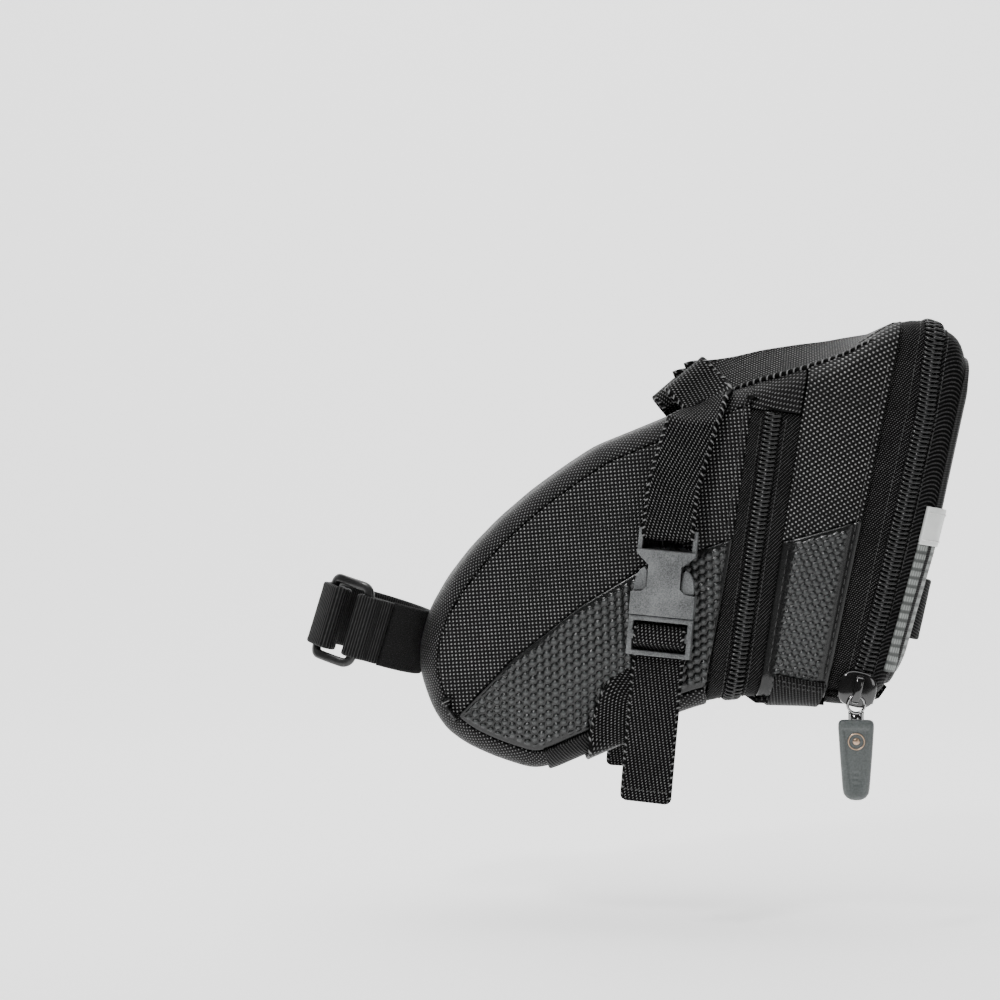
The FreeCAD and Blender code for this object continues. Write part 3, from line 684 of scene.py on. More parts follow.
def front_side(u, w):
    """Half width of the front pouch at a point of its side."""
    d = outline_distance(u, w)
    k = 1 - np.minimum(d, CORNER) / CORNER
    y = half_width(u) - CORNER + CORNER * np.sqrt(np.maximum(1 - k * k, 0))
    full = smooth01((d - 4) / 24) * smooth01((FRONT_END + 1 - u) / 16)
    y = y + full * (1.9 + 0.5 * np.cos(w / 26.0))
    under_strap = np.exp(-(((u - 80.8 - 0.09 * w) / 10.0) ** 2)) * smooth01((d - 3) / 10)
    y = y - 0.7 * under_strap
    nose = smooth01((u - 15.0) / 9.0)
    y = y - (1 - nose) * 3.0
    pull = np.sin(w / 9.0 + u / 23.0) * np.exp(-(((u - 98) / 8.0) ** 2)) * 0.22
    return y + pull * smooth01((d - 6) / 10)


def lean(c):
    return ZIP_LEAN * np.clip((c - EXP_C) / (MAIN_C - EXP_C), 0, 1)


def station_limits(c):
    """Lowest and highest w of the hoop at station c."""
    c = np.asarray(c, float)
    wt, wb = np.full(c.shape, 100.0), np.zeros(c.shape)
    for _ in range(30):
        wt = wt + 0.6 * (np.interp(c + lean(c) * wt, TOP_LINE[:, 0], TOP_LINE[:, 1]) - wt)
        wb = wb + 0.6 * (np.interp(c + lean(c) * wb, LOW_LINE[:, 0], LOW_LINE[:, 1]) - wb)
    return wb, wt


def hoop_size(c):
    wb, wt = station_limits(c)
    r = np.interp(c, [105, 131, 141, 149, LID_C], [9, 8, 7, 7.5, 12])
    h = half_width(c) - 3.1 * np.clip((c - 148.0) / 9.1, 0, 1) ** 2
    return wb, wt, r, h


def hoop_length(c):
    wb, wt, r, h = hoop_size(c)
    return (h - r) * 2 + math.pi * r + (wt - wb - 2 * r)


def hoop_p(c, w):
    """Perimeter position on the side at height w, from the bottom centre."""
    wb, wt, r, h = hoop_size(c)
    flat, arc, side = h - r, math.pi / 2 * r, wt - wb - 2 * r
    low = np.arccos(np.clip(1 - (w - wb) / r, -1, 1)) * r
    high = arc + side + np.arcsin(np.clip((w - (wt - r)) / r, -1, 1)) * r
    return flat + np.where(w < wb + r, low, np.where(w > wt - r, high, arc + (w - wb - r)))


def hoop(c, p, lift=0.0):
    """Point of the hoop at station c and perimeter p, in the row frame.

    p runs over the left half, from the bottom centre to the top centre.
    """
    c, p = np.broadcast_arrays(np.asarray(c, float), p)
    wb, wt, r, h = hoop_size(c)
    flat, arc, side = h - r, math.pi / 2 * r, wt - wb - 2 * r
    a1 = np.clip((p - flat) / r, 0, math.pi / 2)
    a2 = np.clip((p - flat - arc - side) / r, 0, math.pi / 2)
    x = np.clip(p, 0, flat) + r * np.sin(a1)
    w = wb + r * (1 - np.cos(a1)) + np.clip(p - flat - arc, 0, side) + r * np.sin(a2)
    x = x - r * (1 - np.cos(a2)) - np.clip(p - flat - 2 * arc - side, 0, None)
    ny = np.where(a2 > 0, np.cos(a2), np.sin(a1))
    nw = np.where(a2 > 0, np.sin(a2), -np.cos(a1))
    u = c + lean(c) * w + bow(c, w)
    y = x + WEDGE * lean(c) * w * smooth01(x / 30.0)
    return row(u, -(y + ny * lift), w + nw * lift)


def bow(c, w):
    """How far the stuffed lid and its zip curve rearward of the straight section."""
    zip_bow = np.interp(w, [5, 17, 29, 60, 89, 104, 117], [0, 1.2, 1.8, 2.0, 1.8, 0.2, -1.0])
    lid_bow = np.interp(w, [8, 20, 32, 48, 62, 89, 117], [-0.6, -0.4, 0.2, 1.2, 1.5, 1.2, 1.0])
    a, b = np.clip((c - 139.5) / (MAIN_C - 139.5), 0, 1), np.clip((c - MAIN_C) / (LID_C - MAIN_C), 0, 1)
    return a * (zip_bow * (1 - b) + lid_bow * b)


def hoop_normal(c, p):
    a = hoop(c, p, 1.0) - hoop(c, p, 0.0)
    rearward = hoop(c + 0.5, p) - hoop(c - 0.5, p)
    round_ = hoop(c, p + 0.5) - hoop(c, p - 0.5)
    n = unit(np.cross(rearward, round_))
    s = np.sign((n * a).sum(-1, keepdims=True))
    return n * np.where(s == 0, 1, s)


def hoop_patch(name, c_lines, p0, p1, step, thick, mat, body, sign, lift, roll, bump=None, **more):
    """A sewn panel on the hoops, between two borders p0(c) and p1(c)."""
    a, b = p0(c_lines), p1(c_lines)
    size = float(np.mean(b - a))
    t = lines(0, size, step, roll) / size
    p = a[:, None] + (b - a)[:, None] * t[None, :]
    c = np.broadcast_to(c_lines[:, None], p.shape)
    ei, ej = to_edges(c_lines), np.minimum(t, 1 - t) * size
    height = bump(c, p, ei, ej) if bump else np.zeros(p.shape)
    # the third fabric coordinate is the relief height; the vinyl material paints light stud tops from it
    fab = np.stack([c, p, height / 0.75], -1)
    points = mirror(hoop(c, p, lift(c, p)), sign)
    return shell(name, points, thick, mat, body, fab, ei, ej, roll, height, **more)


def studs(x, y, edge, pitch=2.6, radius=1.05, height=0.72):
    """Height of a triangular lattice of round studs, flat near the panel's edge."""
    rows = pitch * math.sqrt(3) / 2
    best = np.full(np.shape(x), 1e9)
    for odd in (0, 1):
        yy = (y / (2 * rows) - odd / 2)
        xx = x / pitch - odd / 2
        dx, dy = (xx - np.round(xx)) * pitch, (yy - np.round(yy)) * 2 * rows
        best = np.minimum(best, dx * dx + dy * dy)
    dome = np.sqrt(np.clip(1 - best / radius ** 2, 0, 1))
    return dome * height * smooth01((edge - 1.6) / 0.7)


# ---------------------------------------------------------------- front pouch
GRIP_LINE = resample([
    (27.6, -24.6), (29.3, -22.6), (43.6, -2.3), (62.4, 17.6), (79.5, 31.5), (105.0, 44.4)], 0.5, 2.0)
S_TIP = float(FRONT_S[np.argmin(np.hypot(FRONT_LINE[:, 0] - 23.6, FRONT_LINE[:, 1] + 23.6))])
S_LOW = front_s_at_u(FRONT_END, False)
S_TOP = front_s_at_u(FRONT_END, True)


def front_point(u, w, sign=1.0):
    return mirror(row(u, -front_side(u, w), w), sign)


def front_normal(u, w, sign=1.0):
    rearward = front_point(u + 0.4, w, sign) - front_point(u - 0.4, w, sign)
    upward = front_point(u, w + 0.4, sign) - front_point(u, w - 0.4, sign)
    n = unit(np.cross(rearward, upward))
    return n * np.sign(-n[..., 1:2] * sign)


def gusset_grid(s, flats, arcs):
    """Points, fabric places and seam distances of a strip that follows the outline from seam to seam.

    s are arc lengths, flats are parts of the flat half width and arcs are angles round the corner.
    """
    o, n = front_at(s)
    cols, places, edge = [], [], []
    for v, curved in [(f, False) for f in flats] + [(a, True) for a in arcs]:
        d = np.full(len(s), CORNER * (1 - math.cos(v)) if curved else -0.7 * (1 - v * v))
        u = o[:, 0] + n[:, 0] * d
        flat = half_width(u) - (1 - smooth01((u - 15.0) / 9.0)) * 3.0 - CORNER
        y = flat + CORNER * math.sin(v) if curved else flat * v
        q = flat + CORNER * v if curved else flat * v
        cols.append(row(u, -y, o[:, 1] + n[:, 1] * d))
        places.append(np.stack([s, -q, 0 * s], -1))
        edge.append((SEAM_ANGLE - v) * CORNER if curved else 1e3)
    p = np.concatenate([np.stack(cols[::-1], 1), mirror(np.stack(cols[1:], 1), -1.0)], 1)
    fab = np.concatenate([np.stack(places[::-1], 1), mirror(np.stack(places[1:], 1), -1.0)], 1)
    return p, fab, np.array(edge[::-1] + edge[1:])


def front_gusset():
    """The strip that runs under the pouch, round its nose and over its top."""
    s = lines(S_LOW, S_TOP, 1.1, 0.8)
    near_seam = SEAM_ANGLE - np.array([0.8, 0.36, 0.1, 0.0]) / CORNER
    arcs = np.concatenate([np.linspace(0, SEAM_ANGLE, 10)[:-1], near_seam])
    p, fab, ej = gusset_grid(s, np.linspace(0, 1, 13)[:-1], arcs)
    shell("front_gusset", clear_post(p), 1.8, "nylon_gusset", "front_pouch", fab, to_edges(s), ej, 0.8,
          slot="ballistic_nylon", replaces=("nose_panel", "top_panel", "bottom_panel"))


def offset_line(s0, s1, d):
    """Points along the outline from arc length s0 to s1, moved inward by d."""
    o, n = front_at(np.linspace(s0, s1, 260))
    return o + n * d


def ruled(a, b, t, v):
    """Points between two curves given as polylines; t runs along both, v across."""
    ta, tb = np.linspace(0, 1, len(a)), np.linspace(0, 1, len(b))
    pa = np.stack([np.interp(t, ta, a[:, k]) for k in (0, 1)], -1)
    pb = np.stack([np.interp(t, tb, b[:, k]) for k in (0, 1)], -1)
    return pa[:, None, :] * (1 - v)[None, :, None] + pb[:, None, :] * v[None, :, None]


def front_sides():
    up, low = [offset_line(S_TIP, s, SEAM_D + 0.12) for s in (S_TOP, S_LOW)]
    middle = np.concatenate([up[:1], GRIP_LINE[GRIP_LINE[:, 0] > up[0, 0] + 1.0]])
    middle, up, low = [resample(x, 0.5, 1.0) for x in (middle, up, low)]
    for x in (middle, up, low):
        x[:, 0] = np.minimum(x[:, 0], FRONT_END)
    weave_angle = math.radians(58)
    wc, ws = math.cos(weave_angle), math.sin(weave_angle)
    panels = (("fabric", up, 1.3, 150.0, 55.0), ("grip", low, 0.42, 105.0, 36.0))
    for side, sign in SIDES:
        for kind, other, step, length, size in panels:
            t = lines(0, length, step, 0.8) / length
            t[0] = 0.0008
            v = lines(0, size, step, 0.8) / size
            q = ruled(middle, other, t, v)
            u, w = q[..., 0], q[..., 1]
            e_line, e_out = [np.linalg.norm(q - edge, axis=-1) for edge in (q[:, :1], q[:, -1:])]
            e_end = FRONT_END - u
            e = np.minimum(np.minimum(e_line, e_out), np.maximum(e_end, 0))
            p = front_point(u, w, sign)
            if kind == "grip":
                height = studs(u * 0.77 + w * 0.64, w * 0.77 - u * 0.64, e)
                lift = height - 0.55 * bell(e_end, 2.3, 0.35) * 0.5
                # the third fabric coordinate is the stud height, which the vinyl material uses to paint light
                # stud tops
                fab = np.stack([u, w, height / 0.72], -1)
                obj = shell(f"{side}_front_grip", p, 2.2, "vinyl", "front_pouch", fab, e, None, 0.8, lift,
                            slot="grip_vinyl", replaces=(side + "_grip_panel",))
            else:
                lift = np.zeros(u.shape)
                fab = np.stack([u * wc + w * ws, w * wc - u * ws, lift], -1)
                obj = shell(f"{side}_front_side", p, 2.2, "nylon", "front_pouch", fab, e, None, 0.8, lift,
                            slot="ballistic_nylon", replaces=(side + "_side_panel",))
        w = np.linspace(-5.0, 90.0, 140)
        u = np.full_like(w, FRONT_END - 2.0)
        stitches(f"{side}_front_edge_stitches", front_point(u, w, sign), front_normal(u, w, sign),
                 "front_pouch", "ballistic_nylon", 1.9, 2.8)


def front_inside():
    """Lining of the pouch, a simple sheet just inside the shell."""
    s = lines(S_LOW, S_TOP, 4.0)
    o, n = front_at(s)
    u0, w0 = (o + n * 3.4).T
    keep_u = np.minimum(u0, 96.6)
    cols = []
    for y in np.linspace(-1, 1, 25):
        h = half_width(keep_u) - 3.4 - 1.5 * (1 - smooth01((keep_u - 15) / 9.0)) * 3
        shrink = 5.0 * np.abs(y) ** 10
        cols.append(row(keep_u + n[:, 0] * shrink, y * h, w0 + n[:, 1] * shrink))
    p = clear_post(np.stack(cols, 1), 20.5)
    fab = np.stack([np.broadcast_to(s[:, None], p.shape[:2]), p[..., 1], p[..., 1] * 0], -1)
    shell("front_lining_gusset", p, 0.7, "lining", "front_pouch", fab, slot="lining",
          replaces=("front_lining",))
    middle = np.array([70.0, 12.0])
    ring = np.stack([keep_u, w0], -1)
    v = np.linspace(0, 0.99, 22)
    q = ring[:, None, :] * (1 - v)[None, :, None] + middle[None, None, :] * v[None, :, None]
    y = half_width(q[..., 0]) - 3.6 + 1.2 * smooth01(v * 3)[None, :]
    y = y - 3 * (1 - smooth01((q[..., 0] - 15.0) / 12.0))
    fab = np.stack([q[..., 0], q[..., 1], y * 0], -1)
    for side, sign in SIDES:
        p = mirror(row(q[..., 0], -y, q[..., 1]), sign)
        shell(f"{side}_front_lining", p, 0.7, "lining", "front_pouch", fab, slot="lining")


# ---------------------------------------------------------------- zips
def tooth_shape(kind, reach):
    """One coil loop as (across the zip, height, along the zip), and its section radius."""
    a = np.array([reach + 0.15, reach - 0.25, reach * 0.68, reach * 0.33, 0.0, -0.42, -0.62])
    h = np.array([0.02, 0.55, 0.90, 1.0, 0.96, 0.62, 0.15]) * 0.95
    s = 0.42 * (np.clip(a, 0, None) / reach) ** 2
    return np.stack([a * kind, h, s], -1), 0.40 * np.array([0.8, 1.0, 1.0, 1.02, 1.08, 1.05, 0.6])


def coil(name, points, normals, acrosses, kind, pitch, body, reach, **more):
    """Coil loops along a line. acrosses point rearward; kind is 1 for the rear half, -1 for the front."""
    seg = arc_length(points)
    centres = np.arange(0.4 + (pitch / 2 if kind > 0 else 0), seg[-1] - 0.4, pitch)
    o = along(centres, seg, points)
    n, a = unit(along(centres, seg, normals)), unit(along(centres, seg, acrosses))
    t = unit(np.cross(n, a))
    path, r = tooth_shape(kind, reach)
    tan = unit(np.gradient(path, axis=0))
    side = np.array([0.0, 0.0, 1.0])
    b1 = unit(side - tan * (tan @ side)[:, None])
    b2 = np.cross(tan, b1)
    ang = np.linspace(0, 2 * math.pi, 8, endpoint=False)
    cos, sin = np.cos(ang)[None, :, None], np.sin(ang)[None, :, None]
    loop = path[:, None, :] + r[:, None, None] * (cos * b1[:, None, :] * 1.1 + sin * b2[:, None, :])
    one, faces, _ = solid(loop)
    verts = o[:, None, :] + one[None, :, 0:1] * a[:, None, :] + one[None, :, 1:2] * n[:, None, :]
    verts = (verts + one[None, :, 2:3] * t[:, None, :]).reshape(-1, 3)
    if np.linalg.det(np.stack([a[0], n[0], t[0]])) < 0:
        faces = [q[::-1] for q in faces]
    faces = [[i + c * len(one) for i in q] for c in range(len(centres)) for q in faces]
    build(name, verts, faces, "coil", body, verts, slot="zip_coil", **more)


def hoop_line(c, p_from, p_to, lift):
    """A line round the bag at station c, from p_from on the left to p_to and back on the right.

    It comes with its outward normals and its rearward directions.
    """
    p = np.linspace(p_from, p_to, max(4, int(abs(p_to - p_from))))
    cc = np.full_like(p, c)
    across = unit(hoop(cc + 0.5, p, lift) - hoop(cc - 0.5, p, lift))
    halves = (hoop(cc, p, lift), hoop_normal(cc, p), across)
    return [np.concatenate([half, mirror(half[::-1][1:], -1.0)]) for half in halves]


def hoop_ring(name, c_lines, p_from, p_to, lift, thick, mat, body, step=2.0, roll=0.0, **more):
    """A strip on the hoops that crosses the middle: both halves in one piece."""
    points, places = [], []
    t = np.linspace(0, 1, max(4, int(abs(float(p_to(c_lines).mean() - p_from(c_lines).mean())) / step)))
    for c in c_lines:
        a, b = float(p_from(np.array(c))), float(p_to(np.array(c)))
        p = a + (b - a) * t
        left = hoop(np.full_like(p, c), p, lift(c, p) if callable(lift) else lift)
        points.append(np.concatenate([left, mirror(left[::-1][1:], -1.0)]))
        x = np.concatenate([p - b, (b - p)[::-1][1:]])
        places.append(np.stack([x * 0 + c, x, x * 0], -1))
    ei = to_edges(c_lines) if roll else None
    return shell(name, np.stack(points), thick, mat, body, np.stack(places), ei=ei, roll=roll, **more)


def at_w(w):
    """The border at height w."""
    return lambda c: hoop_p(c, w)


def p_at(c, w):
    """Perimeter position at one station and height, as a number."""
    return float(hoop_p(np.array(c), w))


def at_centre_low(c):
    return np.zeros(np.shape(c))


TAPE_DEEP = -0.9


def zip_coil(name, c, p_from, p_thread, p_to, pitch, reach, thread_at, thread_r, halves):
    """Both halves of a coil and the threads that sew them on. halves are (word, side of the line, body)."""
    line = hoop_line(c, p_from, p_to, TAPE_DEEP)
    for half, sign, body in halves:
        coil(f"{name}_coil_{half}_teeth", *line, sign, pitch, body, reach, replaces=(f"{name}_coil_{half}",))
    for half, sign, body in halves:
        points, normals, _ = hoop_line(c + sign * thread_at, p_thread, p_to, TAPE_DEEP + 0.05)
        stitches(f"{name}_{half}_coil_thread", points, normals, body, "zip_tape", 1.0, pitch, thread_r)


def expansion_zip():
    w_end = 84.0
    for half, c0, c1, body in (("front", 104.0, EXP_C - 0.12, "front_pouch"),
                               ("rear", EXP_C + 0.12, 119.4, "rear_section")):
        hoop_ring(f"expansion_tape_{half}", np.linspace(c0, c1, 8), at_w(w_end), at_centre_low, TAPE_DEEP,
                  0.7, "tape", body, slot="zip_tape", replaces=(f"expansion_tape_{half}",))
    top = p_at(EXP_C, w_end - 0.5)
    zip_coil("expansion", EXP_C, top, top - 1.0, 0.0, 1.36, 2.6, 3.4, 0.16,
             (("front", -1.0, "front_pouch"), ("rear", 1.0, "rear_section")))
    stations = np.linspace(FRONT_END + 0.1, EXP_C + 6.7, 12)
    strip = hoop_ring("expansion_hinge_fold", stations, at_w(w_end + 0.3), hoop_length,
                      lambda c, p: -0.5 * bell(c, EXP_C, 3.0), 1.6, "nylon_gusset", None,
                      slot="ballistic_nylon", replaces=("expansion_hinge_strip",))
    low, high = row(FRONT_END - 0.5, 0.0, 97.6), row(EXP_C + 6.9, 0.0, 97.6)
    metres(low)
    metres(high)
    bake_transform(strip)
    gusset = hoop_ring("expansion_gusset_fold", np.linspace(99.0, 119.0, 14), at_w(79.0), at_centre_low,
                       lambda c, p: -3.3 - 1.5 * math.sin(math.pi * (c - 99.0) / 20.0) ** 2, 0.5, "lining",
                       None, slot="lining", replaces=("expansion_gusset",))
    low, high = row(106.0, 0, 30.0), row(118.0, 0, 30.0)
    metres(low)
    metres(high)
    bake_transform(gusset)


def main_zip():
    w_low = 2.6
    hoop_ring("main_tape_body", np.linspace(137.4, MAIN_C - 0.12, 9), at_w(w_low), hoop_length, TAPE_DEEP,
              0.7, "tape", "rear_section", slot="zip_tape", replaces=("main_tape_body",))
    hoop_ring("main_tape_lid", np.linspace(MAIN_C + 0.12, LID_C - 0.3, 11), at_w(w_low + 1.2), hoop_length,
              lambda c, p: TAPE_DEEP + 0.75 * float(smooth01((c - 150.0) / 5.0)), 0.7, "tape", "rear_lid",
              slot="zip_tape", replaces=("main_tape_lid",))
    start = p_at(MAIN_C, w_low + 0.4)
    zip_coil("main", MAIN_C, start, start + 1.0, float(hoop_length(np.array(MAIN_C))), 1.40, 2.75, 3.6, 0.17,
             (("body", -1.0, "rear_section"), ("lid", 1.0, "rear_lid")))
    strip = hoop_ring("lid_hinge_fold", np.linspace(REAR1 + 0.2, 150.5, 14), at_centre_low, at_w(w_low + 0.4),
                      lambda c, p: -0.25 * bell(c, MAIN_C, 2.5), 1.4, "tape", None,
                      slot="ballistic_nylon", replaces=("lid_hinge_strip",))
    low, high = row(MAIN_C - 5.0, 0, -1.0), row(MAIN_C + 3.0, 0, -1.0)
    metres(low)
    metres(high)
    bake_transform(strip)


# ---------------------------------------------------------------- rear section
def rear_bulge(c, p):
    """The padded sides stand out a little between the two zips."""
    b = np.sin(np.pi * np.clip((c - 116.0) / 25.0, 0, 1)) ** 0.8
    _, _, r, h = hoop_size(c)
    side = smooth01((p - (h - r)) / 14.0) * smooth01((hoop_length(c) - (h - r) - p) / 14.0)
    wave = 0.18 * np.sin(p / 7.0 + c / 6.0)
    return b * side * (1.5 + wave) - 0.05


def rear_section():
    def border(c):
        return hoop_p(c, np.interp(c, [118.0, 124.0, 131.0, 138.5], [45.3, 48.0, 51.5, 55.5]))

    def seam_low(c):
        _, _, r, h = hoop_size(c)
        return h - r + 4.5

    def seam_top(c):
        return hoop_length(c) - (hoop_size(c)[3] - 8.0) - 3.0

    def grip_bump(c, p, ei, ej):
        e = np.minimum(np.minimum(ei[:, None], ej[None, :]), ei[:, None] - 1.6)
        pin = bell(ei[:, None], 2.2, 0.4) * 0.3 * np.ones_like(p)
        return studs(c, p, e, pitch=2.05, radius=0.95, height=0.62) - pin

    for side, sign in SIDES:
        obj = hoop_patch(f"{side}_rear_grip", lines(REAR0, REAR1, 0.34, 0.8), seam_low, border, 0.40, 2.0,
                         "vinyl", "rear_section", sign, rear_bulge, 0.8, grip_bump, slot="grip_vinyl",
                         replaces=(side + "_rear_grip_panel",))
        obj = hoop_patch(f"{side}_rear_side", lines(REAR0, REAR1, 1.2, 0.8), border, seam_top, 1.6, 2.0,
                         "nylon", "rear_section", sign, rear_bulge, 0.8, slot="ballistic_nylon",
                         replaces=(side + "_rear_panel",))
        for k, (c, w0, w1) in enumerate(((REAR0 + 1.9, 6.0, 45.0), (REAR1 - 1.6, 8.0, 104.0))):
            p = np.linspace(p_at(c, w0), p_at(c, w1), 150)
            cc = np.full_like(p, c)
            stitches(f"{side}_rear_edge_stitches_{k}", mirror(hoop(cc, p, rear_bulge(cc, p)), sign),
                     mirror(hoop_normal(cc, p), sign), "rear_section", "ballistic_nylon", 1.8, 2.7, 0.15)
    hoop_ring("rear_top", np.linspace(EXP_C + 6.9, REAR1, 14), seam_top, hoop_length, rear_bulge, 2.0,
              "nylon_gusset", "rear_section", roll=0.8, slot="ballistic_nylon", replaces=("rear_top_panel",))
    hoop_ring("rear_bottom", np.linspace(REAR0, REAR1, 14), at_centre_low, seam_low, 0.0, 2.0, "nylon_gusset",
              "rear_section", roll=0.8, slot="ballistic_nylon", replaces=("rear_bottom_panel",))
    inside = np.linspace(REAR0 - 0.4, REAR1 + 0.4, 8)
    hoop_ring("rear_lining_low", inside, at_centre_low, at_w(52.0), -2.3, 0.7, "lining", "rear_section",
              slot="lining", replaces=("rear_lining",))
    hoop_ring("rear_lining_top", inside, at_w(52.0), hoop_length, -2.3, 0.7, "lining", "rear_section",
              slot="lining")


def ribbons():
    """Ribbons sewn round the underside, one on the pouch and one on the rear section."""
    s = lines(front_s_at_u(79.0, False), front_s_at_u(60.0, False), 1.2, 0.6)
    p, fab, _ = gusset_grid(s, np.linspace(0, 1, 9)[:-1], np.linspace(0, SEAM_ANGLE + 0.02, 12))
    shell("front_ribbon", p, 0.3, "ribbon", "front_pouch", fab, ei=to_edges(s), roll=0.6, lift=1.15,
          slot="ribbon", replaces=("front_bottom_band",))

    def lift(c, p):
        return np.maximum(rear_bulge(c, p), 0) + 1.8

    hoop_ring("rear_ribbon", lines(122.2, 137.3, 1.0, 0.6), at_centre_low, at_w(5.6), lift, 1.2, "ribbon",
              "rear_section", step=1.0, roll=0.6, slot="ribbon", replaces=("rear_bottom_band",))
    c = np.linspace(123.0, 136.6, 40)
    for side, sign in SIDES:
        for k, w in enumerate((4.6, 3.6)):
            p = hoop_p(c, w)
            stitches(f"{side}_rear_ribbon_stitches_{k}", mirror(hoop(c, p, lift(c, p) + 0.05), sign),
                     mirror(hoop_normal(c, p), sign), "rear_section", "ribbon", 1.1, 1.5)


# ---------------------------------------------------------------- lid
LID_LOW, LID_HIGH, LID_CORNER, LID_HALF = (float(x) for x in hoop_size(np.array(LID_C)))


def lid_surface(y, w, lift=0.0):
    """The crowned back panel inside the seam ring. y may be signed."""
    r = LID_CORNER
    qx = np.abs(y) - (LID_HALF + WEDGE * ZIP_LEAN * w - r)
    qw = np.abs(w - (LID_HIGH + LID_LOW) / 2) - ((LID_HIGH - LID_LOW) / 2 - r)
    outside = np.hypot(np.maximum(qx, 0), np.maximum(qw, 0)) + np.minimum(np.maximum(qx, qw), 0) - r
    d = np.maximum(-outside, 0)
    c = LID_C + 3.1 * (1 - np.exp(-d / 4.2)) + 0.9 * (1 - np.exp(-d / 22.0)) - 0.25
    u = c + ZIP_LEAN * w + bow(LID_C, w)
    return row(u + lift, y, w)


def lid_half(w):
    """Half width of the seam ring at height w."""
    r = LID_CORNER
    over = np.maximum(np.maximum(w - (LID_HIGH - r), (LID_LOW + r) - w), 0)
    return LID_HALF + WEDGE * ZIP_LEAN * w - r + np.sqrt(np.maximum(r * r - over * over, 0))


def lid_patch(name, w0, w1, **more):
    """A panel across the whole lid between two heights."""
    ends = np.array([0.004, 0.015, 0.04, 0.08, 0.14, 0.22, 0.33, 0.46, 0.62, 0.8]) * LID_CORNER
    extra = [x for x in np.concatenate([LID_HIGH - ends, LID_LOW + ends]) if w0 < x < w1]
    w = np.unique(np.concatenate([lines(w0, w1, 1.6, 0.5), extra]))
    half = lid_half(w)[:, None]
    y = half * crowded(61)[None, :]
    ww = np.broadcast_to(w[:, None], y.shape)
    edge = np.minimum(to_edges(w)[:, None], half - np.abs(y))
    obj = shell(name, lid_surface(y, ww), 2.0, "ribbed", "rear_lid", np.stack([y, ww, y * 0], -1), ei=edge,
                roll=0.5, slot="ribbed_fabric", **more)


WRAP_C = 153.2  # where the strips sewn round the lid start


def wrap_line(w, step=0.9, sigma=1.1):
    """A level line round the lid at height w, from its left side over the back to its right side."""
    c = np.linspace(WRAP_C, LID_C - 0.2, 8)
    left = hoop(c, hoop_p(c, np.full_like(c, w)), 0.0)
    y = crowded(70) * (float(lid_half(np.array([w]))[0]) - 0.6)
    back = lid_surface(y, np.full_like(y, w))
    return resample(np.concatenate([left, back, mirror(left[::-1], -1.0)]), step, sigma)


def wrap_normals(pts):
    t = unit(np.gradient(pts, axis=0))
    up = row(ZIP_LEAN, 0.0, 1.0)
    n = unit(np.cross(t, np.broadcast_to(up, t.shape)))
    return n * np.sign(((pts - CENTRE) * n).sum(-1, keepdims=True))


def lid_wrap(name, w0, w1, lift, mat, **more):
    """A strip sewn round the lid between two heights."""
    w = lines(w0, w1, 0.8, 0.35)
    level = [wrap_line(x) for x in w]
    inner = min(len(r) for r in level) - 6
    p = []
    for r in level:
        seg = arc_length(r)
        middle = np.linspace(0.8, seg[-1] - 0.8, inner)
        s = np.concatenate([[0, 0.15, 0.4], middle, [seg[-1] - 0.4, seg[-1] - 0.15, seg[-1]]])
        p.append(along(s, seg, r))
    p = np.stack(p)
    seg = arc_length(p[len(p) // 2])
    x = np.broadcast_to(seg - seg[-1] / 2, p.shape[:2])
    fab = np.stack([x, np.broadcast_to(w[:, None], x.shape), x * 0], -1)
    shell(name, p, 0.25, mat, "rear_lid", fab, to_edges(w), to_edges(seg), 0.35, lift, slot=mat, **more)


